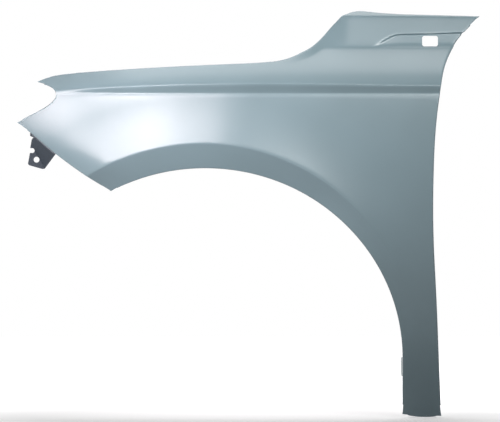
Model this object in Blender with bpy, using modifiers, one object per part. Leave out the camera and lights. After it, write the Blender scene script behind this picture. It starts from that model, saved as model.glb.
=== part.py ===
"""Left front fender of a car: one steel stamping with its return flanges, and a bumper bracket.

x runs rearwards, y inboard and z up. The shape is worked out with x from the front tip, z from
the foot and y from the shoulder crease, and the objects are then moved so that the origin is
the middle of the hood seat's underside.
"""

import math

import bmesh
import bpy
import numpy as np
from mathutils import Matrix, Vector

# Overall sizes
LENGTH = 0.834
HEIGHT = 0.730
SHEET = 0.0008
BRACKET_SHEET = 0.0015

# The outline seen from the side, as shares of the length and the height
HEADLIGHT_SHARES = (
    (0.0442, 0.8252),
    (0.0535, 0.8203),
    (0.0684, 0.8149),
    (0.0800, 0.8068),
    (0.0848, 0.7960),
    (0.0828, 0.7858),
    (0.0723, 0.7720),
    (0.0453, 0.7523),
    (0.0222, 0.7392),
    (0.0, 0.7242),
)
LOWER_FRONT_SHARES = ((0.0, 0.7242), (0.0300, 0.6987), (0.0841, 0.6477), (0.1435, 0.5990))
SILL_SHARES = ((0.0, 0.0071), (0.3, 0.0018), (0.6, 0.0), (1.0, 0.0027))
REAR_SHARES = (
    (0.9172, 0.0027),
    (0.9152, 0.0419),
    (0.9115, 0.1405),
    (0.9072, 0.2637),
    (0.9040, 0.3377),
    (0.9002, 0.4240),
    (0.8986, 0.5220),
    (0.9018, 0.6704),
    (0.9072, 0.7468),
    (0.9126, 0.7937),
    (0.9180, 0.8356),
    (0.9245, 0.8652),
    (0.9331, 0.8898),
    (0.9400, 0.9046),
    (0.9525, 0.9293),
    (0.9676, 0.9490),
    (0.9849, 0.9687),
    (1.0, 0.9872),
)
TOP_SHARES = (
    (1.0, 0.9872),
    (0.8921, 0.9905),
    (0.8274, 0.9926),
    (0.7842, 0.9958),
    (0.7584, 0.9987),
    (0.7368, 1.0),
    (0.7195, 0.9958),
    (0.7023, 0.9889),
)
HOOD_SHARES = (
    (0.7023, 0.9889),
    (0.6785, 0.9593),
    (0.6548, 0.9293),
    (0.6332, 0.9096),
    (0.6117, 0.8972),
    (0.5901, 0.8868),
    (0.5685, 0.8800),
    (0.5361, 0.8752),
    (0.4606, 0.8708),
    (0.3528, 0.8652),
    (0.2449, 0.8578),
    (0.1586, 0.8504),
    (0.0939, 0.8430),
    (0.0636, 0.8344),
    (0.0442, 0.8252),
)

# The wheel arch: an ellipse, then a straight leg down to the sill
ARCH_LENGTH_RADIUS = 0.354
ARCH_HEIGHT_SHARE = 0.4678
ARCH_CENTRE_SHARE = 0.1466
LEG_WIDTH = 0.0655
ARCH_FRONT_ANGLE = math.radians(118.8)
BAND_FRONT = 0.0455
BAND_REAR = 0.030
BAND_REAR_ANGLE = math.radians(20)
BAND_FRONT_ANGLE = math.radians(95)

ARCH_HEIGHT_RADIUS = ARCH_HEIGHT_SHARE * HEIGHT
ARCH_CENTRE_HEIGHT = ARCH_CENTRE_SHARE * HEIGHT

# Feature lines that run along the panel
CREASE_SHARES = (
    (0.075, 0.8040),
    (0.115, 0.8076),
    (0.180, 0.8121),
    (0.267, 0.8171),
    (0.353, 0.8208),
    (0.440, 0.8225),
    (0.526, 0.8238),
    (0.612, 0.8230),
    (0.698, 0.8220),
    (0.785, 0.8200),
    (0.920, 0.8185),
)
FILLET_SHARE = 0.7937
BAND_SHARE = 0.7999
STRIP_SHARE = 0.8467
STRIP_RISE_SHARE = 0.42
LEDGE_SHARE = 0.9096
LEDGE_RISE_SHARE = 0.76
BROW_SHARES = ((0.640, 0.9880), (0.702, 0.9884), (0.860, 0.9876), (1.000, 0.9850))
BROW_DROP = 0.0014
GROOVE_SHARES = (
    (0.7740, 0.9140),
    (0.7900, 0.9256),
    (0.8075, 0.9355),
    (0.8170, 0.9400),
    (0.8290, 0.9420),
    (0.8900, 0.9438),
    (0.9700, 0.9466),
)
GROOVE_ROW_RISE_SHARE = 0.5
GROOVE_HALF_WIDTH = 0.0016
GROOVE_ROOM_SHARE = 0.15

# How deep the skin lies, and how its bends run
PLAN_SWEEP = 0.126
PLAN_POWER = 2.2
PLAN_CROWN_SHARE = 0.53
PLAN_TAIL = 0.008
UNDERCUT_SLOPE_SHARE = 0.58
UNDERCUT_FADE_SHARES = (0.08, 0.20)
FILLET_SLOPE_SHARE = 0.34
FILLET_HEIGHT = 0.005
BELLY = 0.006
BELLY_SHARE = 0.61
TUCK = 0.046
FLARE = 0.009
FLARE_REACH = 0.088
FLARE_LOW_ANGLE = math.radians(8)
FLARE_HIGH_ANGLE = math.radians(50)
CHAMFER = 0.023
CHAMFER_LOW_ANGLE = math.radians(30)
CHAMFER_HIGH_ANGLE = math.radians(66)
TURN_SHARES = ((0.072, 0.6620), (0.202, 0.6200))
TURN_SLOPE_SHARE = 0.42
TURN_FADE_SHARES = (0.14, 0.30)
SHOULDER_SLOPE_SHARE = 0.95
DECK_SLOPE_SHARE = 1.45
BROW_SLOPE_SHARE = 0.38
FACET_SLOPE_SHARE = 1.7
HUMP_FADE_SHARES = (0.56, 0.72)
RECESS_DEPTH = 0.0034
RECESS_STEP = 0.0035
RECESS_START_SHARES = (0.762, 0.800)
RECESS_FADE_SHARES = (0.765, 0.835)
RECESS_FRONT_SHARE = 0.5
RECESS_REACH = 0.005
SHARP_SOFTNESS = 0.0012
CREASE_SOFTNESS = 0.0022
LEDGE_SOFTNESS = 0.0028
STRIP_SOFTNESS = 0.016
TURN_SOFTNESS = 0.022
ARCH_SOFTNESS = 0.0020
LINE_SOFTNESS = 0.004

# The return flanges
FOLD_RADIUS = 0.0026
TIP_FOLD_RADIUS = 0.0010
FOLD_FADE = 0.060
RELIEF = 0.008
HEADLIGHT_FLANGE = 0.010
LOWER_FLANGE = 0.015
ARCH_FLANGE = 0.013
SILL_FLANGE = 0.022
SILL_SEAT_HEIGHT = 0.0030
REAR_FLANGE = 0.016
TOP_FLANGE = 0.009
HUMP_FLANGE = 0.012
TIP_FLANGE = 0.006
FLANGE_LEAN_SHARE = 0.10
WALL_LEAN_SHARE = 0.08
TOP_LEAN_SHARE = 0.45
HOOD_SEAT_SHARE = 0.792
HOOD_SEAT_WIDTH = 0.028
HOOD_TIP_SHARES = (0.062, 0.094)
HOOD_WALL_SHARES = (0.106, 0.572)
HUMP_FLANGE_SHARES = (0.596, 0.690)
TOP_FLANGE_SHARES = (0.716, 0.985)
END_TRIM_SHARE = 0.65

# Tabs that grow out of the flanges
LINER_TAB_DEPTH = 0.024
LINER_TAB_LEAN_SHARE = 0.16
LINER_TAB_BEND = 0.004
REAR_TAB_DEPTH = 0.024
REAR_TAB_SHARES = (0.500, 0.210)
TAB_CORNER_SHARE = 0.16

# Openings
MARKER_X_SHARE = 0.8930
MARKER_Z_SHARE = 0.9260
MARKER_WIDTH = 0.0283
MARKER_HEIGHT = 0.0186
MARKER_CORNER = 0.0038
BOLT_HOLE = 0.0045
SEAT_HOLE_SHARES = (0.172, 0.345, 0.520)
SILL_SLOT_LENGTH = 0.006
SILL_HOLE_SHARE = 0.52
CUT_OVERRUN = 0.006

# The bumper bracket, its outline as shares of its own width and drop
BRACKET_START_SHARE = 0.145
BRACKET_END_SHARE = 0.455
BRACKET_WIDTH = 0.050
BRACKET_DROP = 0.0598
BRACKET_LEFT_SHARE = 0.0232
BRACKET_FOOT_SHARE = 0.6090
BRACKET_SHARES = (
    (0.080, 1.120),
    (0.080, 1.000),
    (0.209, 0.957),
    (0.140, 0.905),
    (0.083, 0.640),
    (0.070, 0.480),
    (0.000, 0.160),
    (0.036, 0.115),
    (0.518, 0.000),
    (0.607, 0.008),
    (1.000, 0.452),
    (1.180, 0.640),
    (0.400, 1.220),
)
BRACKET_HOLE_X_SHARE = 0.311
BRACKET_HOLE_Z_SHARE = 0.283
BRACKET_HOLE = 0.0052
BRACKET_NOTCH_X_SHARE = 0.155
BRACKET_NOTCH_Z_SHARE = 0.558
BRACKET_NOTCH = 0.0043
BRACKET_BEND = 0.004
BRACKET_STEP = 0.022
WELD_STRIP_START = 0.002
WELD_STRIP = 0.010
BRACKET_TAIL = 0.050
SEAM_GAP = 0.0003

# How finely the skin is laid out
TOP_KEY_SHARES = (0.0, 0.056, 0.560, 0.688, 0.775, 1.0)
TOP_KEY_COLUMNS = (4, 16, 8, 5, 9)
FRONT_COLUMNS = 7
REAR_COLUMNS = 12
LEG_COLUMNS = 6
CORNER_ANGLE = math.radians(48)
REAR_KEY_SHARE = 0.155
MAIN_ROWS = 8
BAND_ROW_SHARES = (0.0, 0.34, 0.68, 0.93, 1.0)
FOLD_STEPS = 3
BEND_STEPS = 2
DENSE = 16
HOLE_SIDES = 24
WELD = 0.00001
PROBE = 0.002

UP = Vector((0, 0, 1))
INBOARD = Vector((0, 1, 0))


def remove_everything():
    for thing in list(bpy.data.objects):
        bpy.data.objects.remove(thing, do_unlink=True)


def smoothstep(low, high, value):
    t = min(max((value - low) / (high - low), 0.0), 1.0)
    return t * t * (3 - 2 * t)


def ramp(d, softness):
    """Zero below, d above, with a soft bend between."""
    return (d + math.hypot(d, softness)) / 2


def lower_of(a, b, softness):
    return (a + b - math.hypot(a - b, softness)) / 2


def scaled(shares):
    return [(sx * LENGTH, sz * HEIGHT) for sx, sz in shares]


def spline(points):
    """A dense, smooth run of points through the given ones."""
    p = [np.array(q, float) for q in points]
    p = [2 * p[0] - p[1]] + p + [2 * p[-1] - p[-2]]
    run = []
    for a, b, c, d in zip(p, p[1:], p[2:], p[3:]):
        ab, bc, cd = (math.sqrt(np.linalg.norm(v)) for v in (b - a, c - b, d - c))
        tb = ((b - a) / ab - (c - a) / (ab + bc)) * bc + (c - b)
        tc = (c - b) - ((d - b) / (bc + cd) - (d - c) / cd) * bc
        for k in range(DENSE):
            t = k / DENSE
            run.append(
                (2 * t**3 - 3 * t**2 + 1) * b
                + (t**3 - 2 * t**2 + t) * tb
                + (3 * t**2 - 2 * t**3) * c
                + (t**3 - t**2) * tc
            )
    run.append(p[-2])
    return np.array(run)


def lengths_along(run):
    return np.concatenate(([0.0], np.cumsum(np.linalg.norm(np.diff(run, axis=0), axis=1))))


def at_length(run, s):
    along = lengths_along(run)
    return np.array([np.interp(s, along, run[:, 0]), np.interp(s, along, run[:, 1])])


def height_on(run, x):
    order = 1 if run[-1, 0] > run[0, 0] else -1
    return float(np.interp(x, run[::order, 0], run[::order, 1]))


def x_on(run, z):
    order = 1 if run[-1, 1] > run[0, 1] else -1
    return float(np.interp(z, run[::order, 1], run[::order, 0]))


REAR_RUN = spline(scaled(REAR_SHARES))
TOP_RUN = spline(scaled(TOP_SHARES))
HOOD_RUN = spline(scaled(HOOD_SHARES))
CREASE_RUN = spline(scaled(CREASE_SHARES))
BROW_RUN = spline(scaled(BROW_SHARES))
GROOVE_RUN = spline(scaled(GROOVE_SHARES))
UPPER_RUN = np.concatenate((TOP_RUN, HOOD_RUN[1:]))
HEADLIGHT_RUN = spline(scaled(HEADLIGHT_SHARES))
ARCH_X = x_on(REAR_RUN, ARCH_CENTRE_HEIGHT) - LEG_WIDTH - ARCH_LENGTH_RADIUS


def band_width(angle):
    return BAND_REAR + (BAND_FRONT - BAND_REAR) * smoothstep(
        BAND_REAR_ANGLE, BAND_FRONT_ANGLE, angle
    )


def arch_point(angle, out):
    return np.array(
        (
            ARCH_X + (ARCH_LENGTH_RADIUS + out) * math.cos(angle),
            ARCH_CENTRE_HEIGHT + (ARCH_HEIGHT_RADIUS + out) * math.sin(angle),
        )
    )


def past_arch(x, z):
    """How far a point lies outside the arch's edge, and its angle round the arch."""
    dx, dz = x - ARCH_X, z - ARCH_CENTRE_HEIGHT
    if dz <= 0:
        return abs(dx) - ARCH_LENGTH_RADIUS, 0.0
    share = math.hypot(dx / ARCH_LENGTH_RADIUS, dz / ARCH_HEIGHT_RADIUS)
    return math.hypot(dx, dz) * (1 - 1 / share), math.atan2(dz, dx)


ARCH_CORNER = arch_point(ARCH_FRONT_ANGLE, 0.0)
LOWER_RUN = spline(scaled(LOWER_FRONT_SHARES) + [tuple(ARCH_CORNER)])


# Feature lines as heights over x


def crease_height(x):
    return height_on(CREASE_RUN, x)


def hood_height(x):
    return height_on(UPPER_RUN, x)


def brow_height(x):
    return lower_of(hood_height(x) - BROW_DROP, height_on(BROW_RUN, x), LINE_SOFTNESS / 4)


def strip_height(x):
    own = crease_height(x) + STRIP_RISE_SHARE * (hood_height(x) - crease_height(x))
    return lower_of(own, STRIP_SHARE * HEIGHT, LINE_SOFTNESS)


def ledge_height(x):
    own = crease_height(x) + LEDGE_RISE_SHARE * (hood_height(x) - crease_height(x))
    return lower_of(own, LEDGE_SHARE * HEIGHT, LINE_SOFTNESS)


def groove_height(x):
    own = ledge_height(x) + GROOVE_ROW_RISE_SHARE * (brow_height(x) - ledge_height(x))
    return lower_of(own, height_on(GROOVE_RUN, x), LINE_SOFTNESS)


# The skin's depth


def plan_depth(x):
    crown = PLAN_CROWN_SHARE * LENGTH
    if x < crown:
        return PLAN_SWEEP * (1 - x / crown) ** PLAN_POWER
    return PLAN_TAIL * ((x - crown) / (LENGTH - crown)) ** 2


def recess_share(x, z):
    """One inside the marker's recess and zero outside it."""
    gaps = GROOVE_RUN - np.array((x, z))
    near = int(np.argmin(np.hypot(gaps[:, 0], gaps[:, 1])))
    step = GROOVE_RUN[min(near + 1, len(GROOVE_RUN) - 1)] - GROOVE_RUN[max(near - 1, 0)]
    step = step / np.linalg.norm(step)
    inside = step[1] * -gaps[near, 0] - step[0] * -gaps[near, 1]
    full = smoothstep(*(s * LENGTH for s in RECESS_FADE_SHARES), x)
    step = RECESS_STEP * (1 - full / 2)
    start = smoothstep(*(s * LENGTH for s in RECESS_START_SHARES), x)
    share = start * (RECESS_FRONT_SHARE * (1 - full) + full)
    return share * smoothstep(-step, step, inside)


def upper_depth(x, z):
    hump = smoothstep(HUMP_FADE_SHARES[0] * LENGTH, HUMP_FADE_SHARES[1] * LENGTH, x)
    depth = SHOULDER_SLOPE_SHARE * ramp(z - crease_height(x), CREASE_SOFTNESS)
    depth += (DECK_SLOPE_SHARE - SHOULDER_SLOPE_SHARE) * ramp(z - strip_height(x), STRIP_SOFTNESS)
    depth -= hump * (DECK_SLOPE_SHARE - BROW_SLOPE_SHARE) * ramp(z - ledge_height(x), LEDGE_SOFTNESS)
    depth += hump * (FACET_SLOPE_SHARE - BROW_SLOPE_SHARE) * ramp(z - brow_height(x), SHARP_SOFTNESS)
    if z > ledge_height(x) and x > GROOVE_RUN[0, 0]:
        reach = smoothstep(ledge_height(x), ledge_height(x) + RECESS_REACH, z) * hump
        depth += RECESS_DEPTH * reach * recess_share(x, z)
    return depth


def lower_depth(x, z):
    crease, band = crease_height(x), BAND_SHARE * HEIGHT
    fade = smoothstep(*(s * LENGTH for s in UNDERCUT_FADE_SHARES), x)
    depth = fade * UNDERCUT_SLOPE_SHARE * (
        ramp(crease - z, CREASE_SOFTNESS)
        - ramp(min(band, crease) - z, CREASE_SOFTNESS)
    )
    depth -= fade * FILLET_SLOPE_SHARE * (
        ramp(band - z, SHARP_SOFTNESS) - ramp(band - FILLET_HEIGHT - z, CREASE_SOFTNESS)
    )
    belly, top = BELLY_SHARE * HEIGHT, FILLET_SHARE * HEIGHT
    if z > belly:
        depth -= BELLY * (1 - min((z - belly) / (top - belly), 1.0) ** 2)
    else:
        depth += TUCK * ((belly - z) / belly) ** 2 - BELLY
    out, angle = past_arch(x, z)
    width = band_width(angle)
    flare = smoothstep(FLARE_LOW_ANGLE, FLARE_HIGH_ANGLE, angle)
    depth -= FLARE * flare * (1 - min(max((out - width) / FLARE_REACH, 0.0), 1.0)) ** 2
    chamfer = smoothstep(CHAMFER_LOW_ANGLE, CHAMFER_HIGH_ANGLE, angle)
    depth += CHAMFER * chamfer * ramp(width - out, ARCH_SOFTNESS) / width
    (x0, z0), (x1, z1) = scaled(TURN_SHARES)
    turn = z0 + (z1 - z0) * (x - x0) / (x1 - x0)
    fade = 1 - smoothstep(TURN_FADE_SHARES[0] * LENGTH, TURN_FADE_SHARES[1] * LENGTH, x)
    depth += TURN_SLOPE_SHARE * fade * ramp(turn - z, TURN_SOFTNESS)
    return depth


def depth_at(x, z):
    return plan_depth(x) + upper_depth(x, z) + lower_depth(x, z)


def on_skin(p):
    return Vector((p[0], depth_at(p[0], p[1]), p[1]))


# Folds


def leaving(p, outward):
    """The direction in the skin that leaves its edge squarely."""
    dx = (depth_at(p[0] + PROBE, p[1]) - depth_at(p[0] - PROBE, p[1])) / (2 * PROBE)
    dz = (depth_at(p[0], p[1] + PROBE) - depth_at(p[0], p[1] - PROBE)) / (2 * PROBE)
    rise = dx * outward[0] + dz * outward[1]
    return Vector((outward[0], rise, outward[1])).normalized()


def bend(start, heading, toward, radius, steps):
    """The points of a bend that leaves start in one direction and ends heading in another."""
    across = (toward - heading * heading.dot(toward)).normalized()
    turn = math.acos(max(min(heading.dot(toward), 1.0), -1.0))
    return [
        start
        + heading * (radius * math.sin(turn * k / steps))
        + across * (radius * (1 - math.cos(turn * k / steps)))
        for k in range(1, steps + 1)
    ]


class Edge:
    """One side of the outline, drawn in by what its fold adds outside the skin's edge."""

    def __init__(self, run, ranges, toward):
        self.outline = run
        self.along = lengths_along(run)
        self.total = self.along[-1]
        self.toward = toward
        step = np.gradient(run, axis=0)
        step /= np.linalg.norm(step, axis=1)[:, None]
        self.normals = np.column_stack((step[:, 1], -step[:, 0]))
        self.ranges = [(max(a, RELIEF), min(b, self.total - RELIEF)) for a, b in ranges]
        known = [(0.0, 0.0), (self.total, 0.0)]
        for low, high in self.ranges:
            for s in np.linspace(low, high, DENSE * 2):
                known.append((s, self.overhang(s)))
        known.sort()
        self.overhangs = np.interp(self.along, [s for s, _ in known], [e for _, e in known])
        self.run = run - self.normals * self.overhangs[:, None]

    def normal_at(self, s):
        n = np.array([np.interp(s, self.along, self.normals[:, k]) for k in (0, 1)])
        return n / np.linalg.norm(n)

    def radius_at(self, s):
        fade = smoothstep(0, FOLD_FADE, min(s, self.total - s) - RELIEF)
        return TIP_FOLD_RADIUS + (FOLD_RADIUS - TIP_FOLD_RADIUS) * fade

    def fold_at(self, s, p, steps):
        """The heading at the end of the fold, and the fold's points."""
        normal = self.normal_at(s)
        toward = self.toward(p, normal)
        start = on_skin(p)
        return toward, bend(start, leaving(p, normal), toward, self.radius_at(s), steps)

    def overhang(self, s):
        p = at_length(self.outline, s)
        normal = self.normal_at(s)
        start = on_skin(p)
        _, points = self.fold_at(s, p, DENSE)
        past = [(q.x - start.x) * normal[0] + (q.z - start.z) * normal[1] for q in points]
        return max(max(past), 0.0)

    def where(self, p):
        """How far along the edge a point of its drawn-in run lies."""
        steps = np.diff(self.run, axis=0)
        share = ((np.array(p) - self.run[:-1]) * steps).sum(axis=1)
        share = np.clip(share / (steps**2).sum(axis=1), 0, 1)
        gap = np.linalg.norm(self.run[:-1] + steps * share[:, None] - np.array(p), axis=1)
        k = int(np.argmin(gap))
        return float(self.along[k] + (self.along[k + 1] - self.along[k]) * share[k])

    def covered(self, columns, number):
        """The columns that lie within one of the edge's flanged ranges."""
        low, high = self.ranges[number]
        return [p for p in columns if low - WELD <= self.where(p) <= high + WELD]


def flat2(normal):
    return Vector((normal[0], 0, normal[1]))


def inboard_leaning_in(p, normal):
    return (INBOARD - flat2(normal) * FLANGE_LEAN_SHARE).normalized()


def straight_inboard(p, normal):
    return INBOARD.copy()


def over_the_top(p, normal):
    if p[0] < HOOD_WALL_SHARES[1] * LENGTH + RELIEF:
        return (INBOARD * WALL_LEAN_SHARE - UP).normalized()
    if p[0] < HUMP_FLANGE_SHARES[1] * LENGTH + RELIEF:
        return inboard_leaning_in(p, normal)
    return (INBOARD * TOP_LEAN_SHARE - UP).normalized()


def upper_range(shares):
    """A stretch of the upper edge between two shares of the length, as lengths along it."""
    along = lengths_along(UPPER_RUN)
    low, high = (np.interp(-s * LENGTH, -UPPER_RUN[:, 0], along) for s in shares[::-1])
    return float(low), float(high)


SILL_POINTS = [
    (
        ARCH_X
        + ARCH_LENGTH_RADIUS
        + share * (REAR_RUN[0, 0] - ARCH_X - ARCH_LENGTH_RADIUS),
        z * HEIGHT,
    )
    for share, z in SILL_SHARES
]
SILL_RUN = spline(SILL_POINTS)
ARCH_RUN = np.array(
    [
        arch_point(ARCH_FRONT_ANGLE * (1 - k / (DENSE * 12)), 0.0)
        for k in range(DENSE * 12 + 1)
    ]
    + [
        (
            SILL_RUN[0, 0],
            ARCH_CENTRE_HEIGHT + (SILL_RUN[0, 1] - ARCH_CENTRE_HEIGHT) * k / DENSE,
        )
        for k in range(1, DENSE + 1)
    ]
)
WHOLE = ((0.0, 2 * LENGTH),)
HEADLIGHT = Edge(HEADLIGHT_RUN, WHOLE, inboard_leaning_in)
LOWER = Edge(LOWER_RUN, WHOLE, straight_inboard)
ARCH = Edge(ARCH_RUN, WHOLE, inboard_leaning_in)
SILL = Edge(SILL_RUN, WHOLE, straight_inboard)
REAR = Edge(REAR_RUN, WHOLE, inboard_leaning_in)
UPPER = Edge(
    UPPER_RUN,
    [
        upper_range(s)
        for s in (TOP_FLANGE_SHARES, HUMP_FLANGE_SHARES, HOOD_WALL_SHARES, HOOD_TIP_SHARES)
    ],
    over_the_top,
)


# The skin's layout, as rows of points seen from the side


def column_shares():
    shares = [0.0]
    for low, high, count in zip(TOP_KEY_SHARES, TOP_KEY_SHARES[1:], TOP_KEY_COLUMNS):
        shares += [low + (high - low) * k / count for k in range(1, count + 1)]
    return shares


def edge_crossing(height, run):
    """Where a line given by its height over x meets an edge."""
    above = [height(x) - z for x, z in run]
    for k in range(len(run) - 1):
        if (above[k] > 0) != (above[k + 1] > 0):
            share = above[k] / (above[k] - above[k + 1])
            return float(run[k, 0] + (run[k + 1, 0] - run[k, 0]) * share)
    raise ValueError("a feature line misses the panel's edge")


def row_over(height):
    left = edge_crossing(height, HEADLIGHT.run)
    right = edge_crossing(height, REAR.run)
    columns = [left + (right - left) * c for c in column_shares()]
    row = [(x, height(x)) for x in columns]
    row[0] = (left, height(left))
    return [np.array(p) for p in row]


def top_row():
    left, right = UPPER.run[-1, 0], UPPER.run[0, 0]
    columns = [left + (right - left) * c for c in column_shares()]
    return [np.array((x, height_on(UPPER.run, x))) for x in columns]


def between(low, high, share):
    return lambda x: low(x) + (high(x) - low(x)) * share


def fillet_height(x):
    return FILLET_SHARE * HEIGHT


def band_height(x):
    return lower_of(BAND_SHARE * HEIGHT, crease_height(x) - CREASE_SOFTNESS, LINE_SOFTNESS / 4)


def low_crease(x):
    return crease_height(x) - CREASE_SOFTNESS / 2


def high_crease(x):
    return crease_height(x) + CREASE_SOFTNESS / 2


def groove_reach(x):
    return min(GROOVE_HALF_WIDTH, (brow_height(x) - ledge_height(x)) * GROOVE_ROOM_SHARE)


def low_groove(x):
    return groove_height(x) - groove_reach(x)


def high_groove(x):
    return groove_height(x) + groove_reach(x)


def upper_rows():
    lines = (
        (fillet_height, band_height, 1),
        (band_height, low_crease, 1),
        (low_crease, high_crease, 1),
        (high_crease, strip_height, 2),
        (strip_height, ledge_height, 2),
        (ledge_height, low_groove, 2),
        (low_groove, high_groove, 1),
        (high_groove, brow_height, 2),
    )
    rows = [row_over(fillet_height)]
    for low, high, count in lines:
        rows += [row_over(between(low, high, k / count)) for k in range(1, count + 1)]
    return rows + [top_row()]


def band_row(share):
    """One row of the arch band, from the lower front edge round the arch and down the leg."""
    def point(angle):
        s = ARCH.where(arch_point(angle, 0.0))
        drawn = np.interp(s, ARCH.along, ARCH.overhangs)
        return arch_point(angle, drawn + (band_width(angle) - drawn) * share)

    low, high = math.pi / 2, math.pi * 0.85
    for _ in range(DENSE * 3):
        middle = (low + high) / 2
        p = point(middle)
        under = p[1] < height_on(LOWER_EXTENDED, p[0])
        low, high = (low, middle) if under else (middle, high)
    start = ARCH_FRONT_ANGLE if share == 0 else low
    first = len(column_shares()) - 1 - FRONT_COLUMNS
    angles = [start + (CORNER_ANGLE - start) * k / first for k in range(first)]
    angles += [CORNER_ANGLE * (1 - k / REAR_COLUMNS) for k in range(REAR_COLUMNS)]
    row = [point(a) for a in angles]
    knee = point(0.0)
    foot_x = SILL_RUN[0, 0] + BAND_REAR * share
    foot = np.array((foot_x, height_on(SILL.run, foot_x)))
    leg = [knee + (foot - knee) * k / LEG_COLUMNS for k in range(LEG_COLUMNS)]
    if share == 0:
        foot = SILL.run[0]
        heights = np.linspace(ARCH_CENTRE_HEIGHT, foot[1], LEG_COLUMNS + 1)[:-1]
        leg = [np.array((x_on(ARCH.run[-DENSE - 1 :], z), z)) for z in heights]
    return row + leg + [foot]


LOWER_EXTENDED = np.concatenate(
    (LOWER.run, [LOWER.run[-1] + (LOWER.run[-1] - LOWER.run[-2]) * DENSE * 4])
)


def main_rows(fillet, crest):
    """The rows between the fillet line and the crest of the arch band."""
    bottom = spaced(LOWER, 0.0, LOWER.where(crest[0]), FRONT_COLUMNS)[:-1] + crest
    low, high = REAR.where(fillet[-1]), REAR_KEY_SHARE * REAR.total
    top = fillet + spaced(REAR, low, high, REAR_COLUMNS)[1:]
    top += spaced(REAR, high, 0.0, LEG_COLUMNS)[1:]
    left = spaced(HEADLIGHT, HEADLIGHT.total, HEADLIGHT.where(fillet[0]), MAIN_ROWS)
    right = spaced(SILL, SILL.where(crest[-1]), SILL.total, MAIN_ROWS)
    rows = []
    last = len(top) - 1
    for j in range(MAIN_ROWS + 1):
        v = j / MAIN_ROWS
        row = []
        for i in range(last + 1):
            p = bottom[i] * (1 - v) + top[i] * v
            near = max(1 - i / (FRONT_COLUMNS * 2), 0.0) ** 2
            far = max(1 - (last - i) / LEG_COLUMNS, 0.0) ** 2
            p = p + near * (left[j] - bottom[0] * (1 - v) - top[0] * v)
            p = p + far * (right[j] - bottom[-1] * (1 - v) - top[-1] * v)
            row.append(p)
        rows.append(row)
    return rows


def at_length_of(edge, s):
    return np.array([np.interp(s, edge.along, edge.run[:, k]) for k in (0, 1)])


def spaced(edge, low, high, count):
    """Evenly spaced points of an edge between two lengths along it."""
    return [at_length_of(edge, low + (high - low) * k / count) for k in range(count + 1)]


# Building the mesh


def patch(mesh, rows):
    """A grid laid over rows of points."""
    made = bmesh.ops.create_grid(
        mesh, x_segments=len(rows[0]) - 1, y_segments=len(rows) - 1, size=LENGTH
    )
    spots = [p for row in rows for p in row]
    for vertex, spot in zip(made["verts"], spots):
        vertex.co = spot


def flange(mesh, edge, columns, number, length):
    """A fold and a straight return along part of an edge, whose rows are given back."""
    columns = edge.covered(columns, number)
    lines = []
    for k, p in enumerate(columns):
        toward, line = edge.fold_at(edge.where(p), p, FOLD_STEPS)
        reach = length * (END_TRIM_SHARE if k in (0, len(columns) - 1) else 1)
        lines.append([on_skin(p)] + line + [line[-1] + toward * reach])
    rows = [list(row) for row in zip(*lines)]
    patch(mesh, rows)
    return rows


def tab(mesh, root, ends):
    """A tab that grows from the end of a flange: rows from its root to its end."""
    rows = [root] + ends
    middle = (rows[-1][0] + rows[-1][-1]) / 2
    rows[-1] = [p + (middle - p) * TAB_CORNER_SHARE for p in rows[-1]]
    patch(mesh, rows)


def sill_flange(mesh, columns):
    columns = SILL.covered(columns, 0)
    lines = []
    for k, p in enumerate(columns):
        _, line = SILL.fold_at(SILL.where(p), p, FOLD_STEPS)
        start = line[-1]
        near = Vector((start.x, start.y + FOLD_RADIUS, SILL_SEAT_HEIGHT))
        reach = SILL_FLANGE * (END_TRIM_SHARE if k in (0, len(columns) - 1) else 1)
        far = Vector((start.x, start.y + reach, SILL_SEAT_HEIGHT))
        lines.append([on_skin(p)] + line + [near, far])
    patch(mesh, [list(row) for row in zip(*lines)])


def hood_line(p):
    """The hood side's section at a point of the edge: fold, wall, bend and seat."""
    toward, line = UPPER.fold_at(UPPER.where(p), p, FOLD_STEPS)
    seat = HOOD_SEAT_SHARE * HEIGHT
    across = INBOARD * toward.dot(INBOARD) + UP * toward.dot(UP)
    corner = math.tan(math.acos(across.dot(INBOARD)) / 2) * FOLD_RADIUS
    drop = (line[-1].z - seat) / -toward.z - corner
    foot = line[-1] + toward * drop
    turn = bend(foot, toward, INBOARD, FOLD_RADIUS, FOLD_STEPS)
    turn[-1].z = seat
    end = turn[-1] + INBOARD * HOOD_SEAT_WIDTH
    return line, foot, turn, end


def hood_flange(mesh, columns):
    columns = UPPER.covered(columns, 2)
    lines = []
    for k, p in enumerate(columns):
        line, foot, turn, end = hood_line(p)
        if k in (0, len(columns) - 1):
            end = turn[-1] + (end - turn[-1]) * END_TRIM_SHARE
        lines.append([on_skin(p)] + line + [foot] + turn + [end])
    patch(mesh, [list(row) for row in zip(*lines)])


def seat_middle(x_share):
    """The middle of the hood seat's upper face at a share of the length."""
    x = x_share * LENGTH
    line, foot, turn, end = hood_line(np.array((x, height_on(UPPER.run, x))))
    return (turn[-1] + end) / 2


def liner_tab(mesh, rows):
    """The wheel arch liner's tab, on the lip's first columns below the knee."""
    knee = [k for k, p in enumerate(rows[-1]) if p.z < ARCH_CENTRE_HEIGHT]
    root = [rows[-1][k] for k in knee[:3]]
    lean = Vector((-LINER_TAB_LEAN_SHARE, 1, 0)).normalized()
    first = [p + INBOARD * LINER_TAB_BEND for p in root]
    middle = [p + lean * (LINER_TAB_DEPTH / 2) for p in first]
    tab(mesh, root, [first, middle, [p + lean * LINER_TAB_DEPTH for p in first]])


def rear_tab_root(rows, z_share):
    """The two neighbouring points of the rear flange's end that are nearest a height."""
    ends = rows[-1]
    gaps = [abs((a.z + b.z) / 2 - z_share * HEIGHT) for a, b in zip(ends, ends[1:])]
    k = gaps.index(min(gaps))
    return [ends[k], ends[k + 1]]


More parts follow.
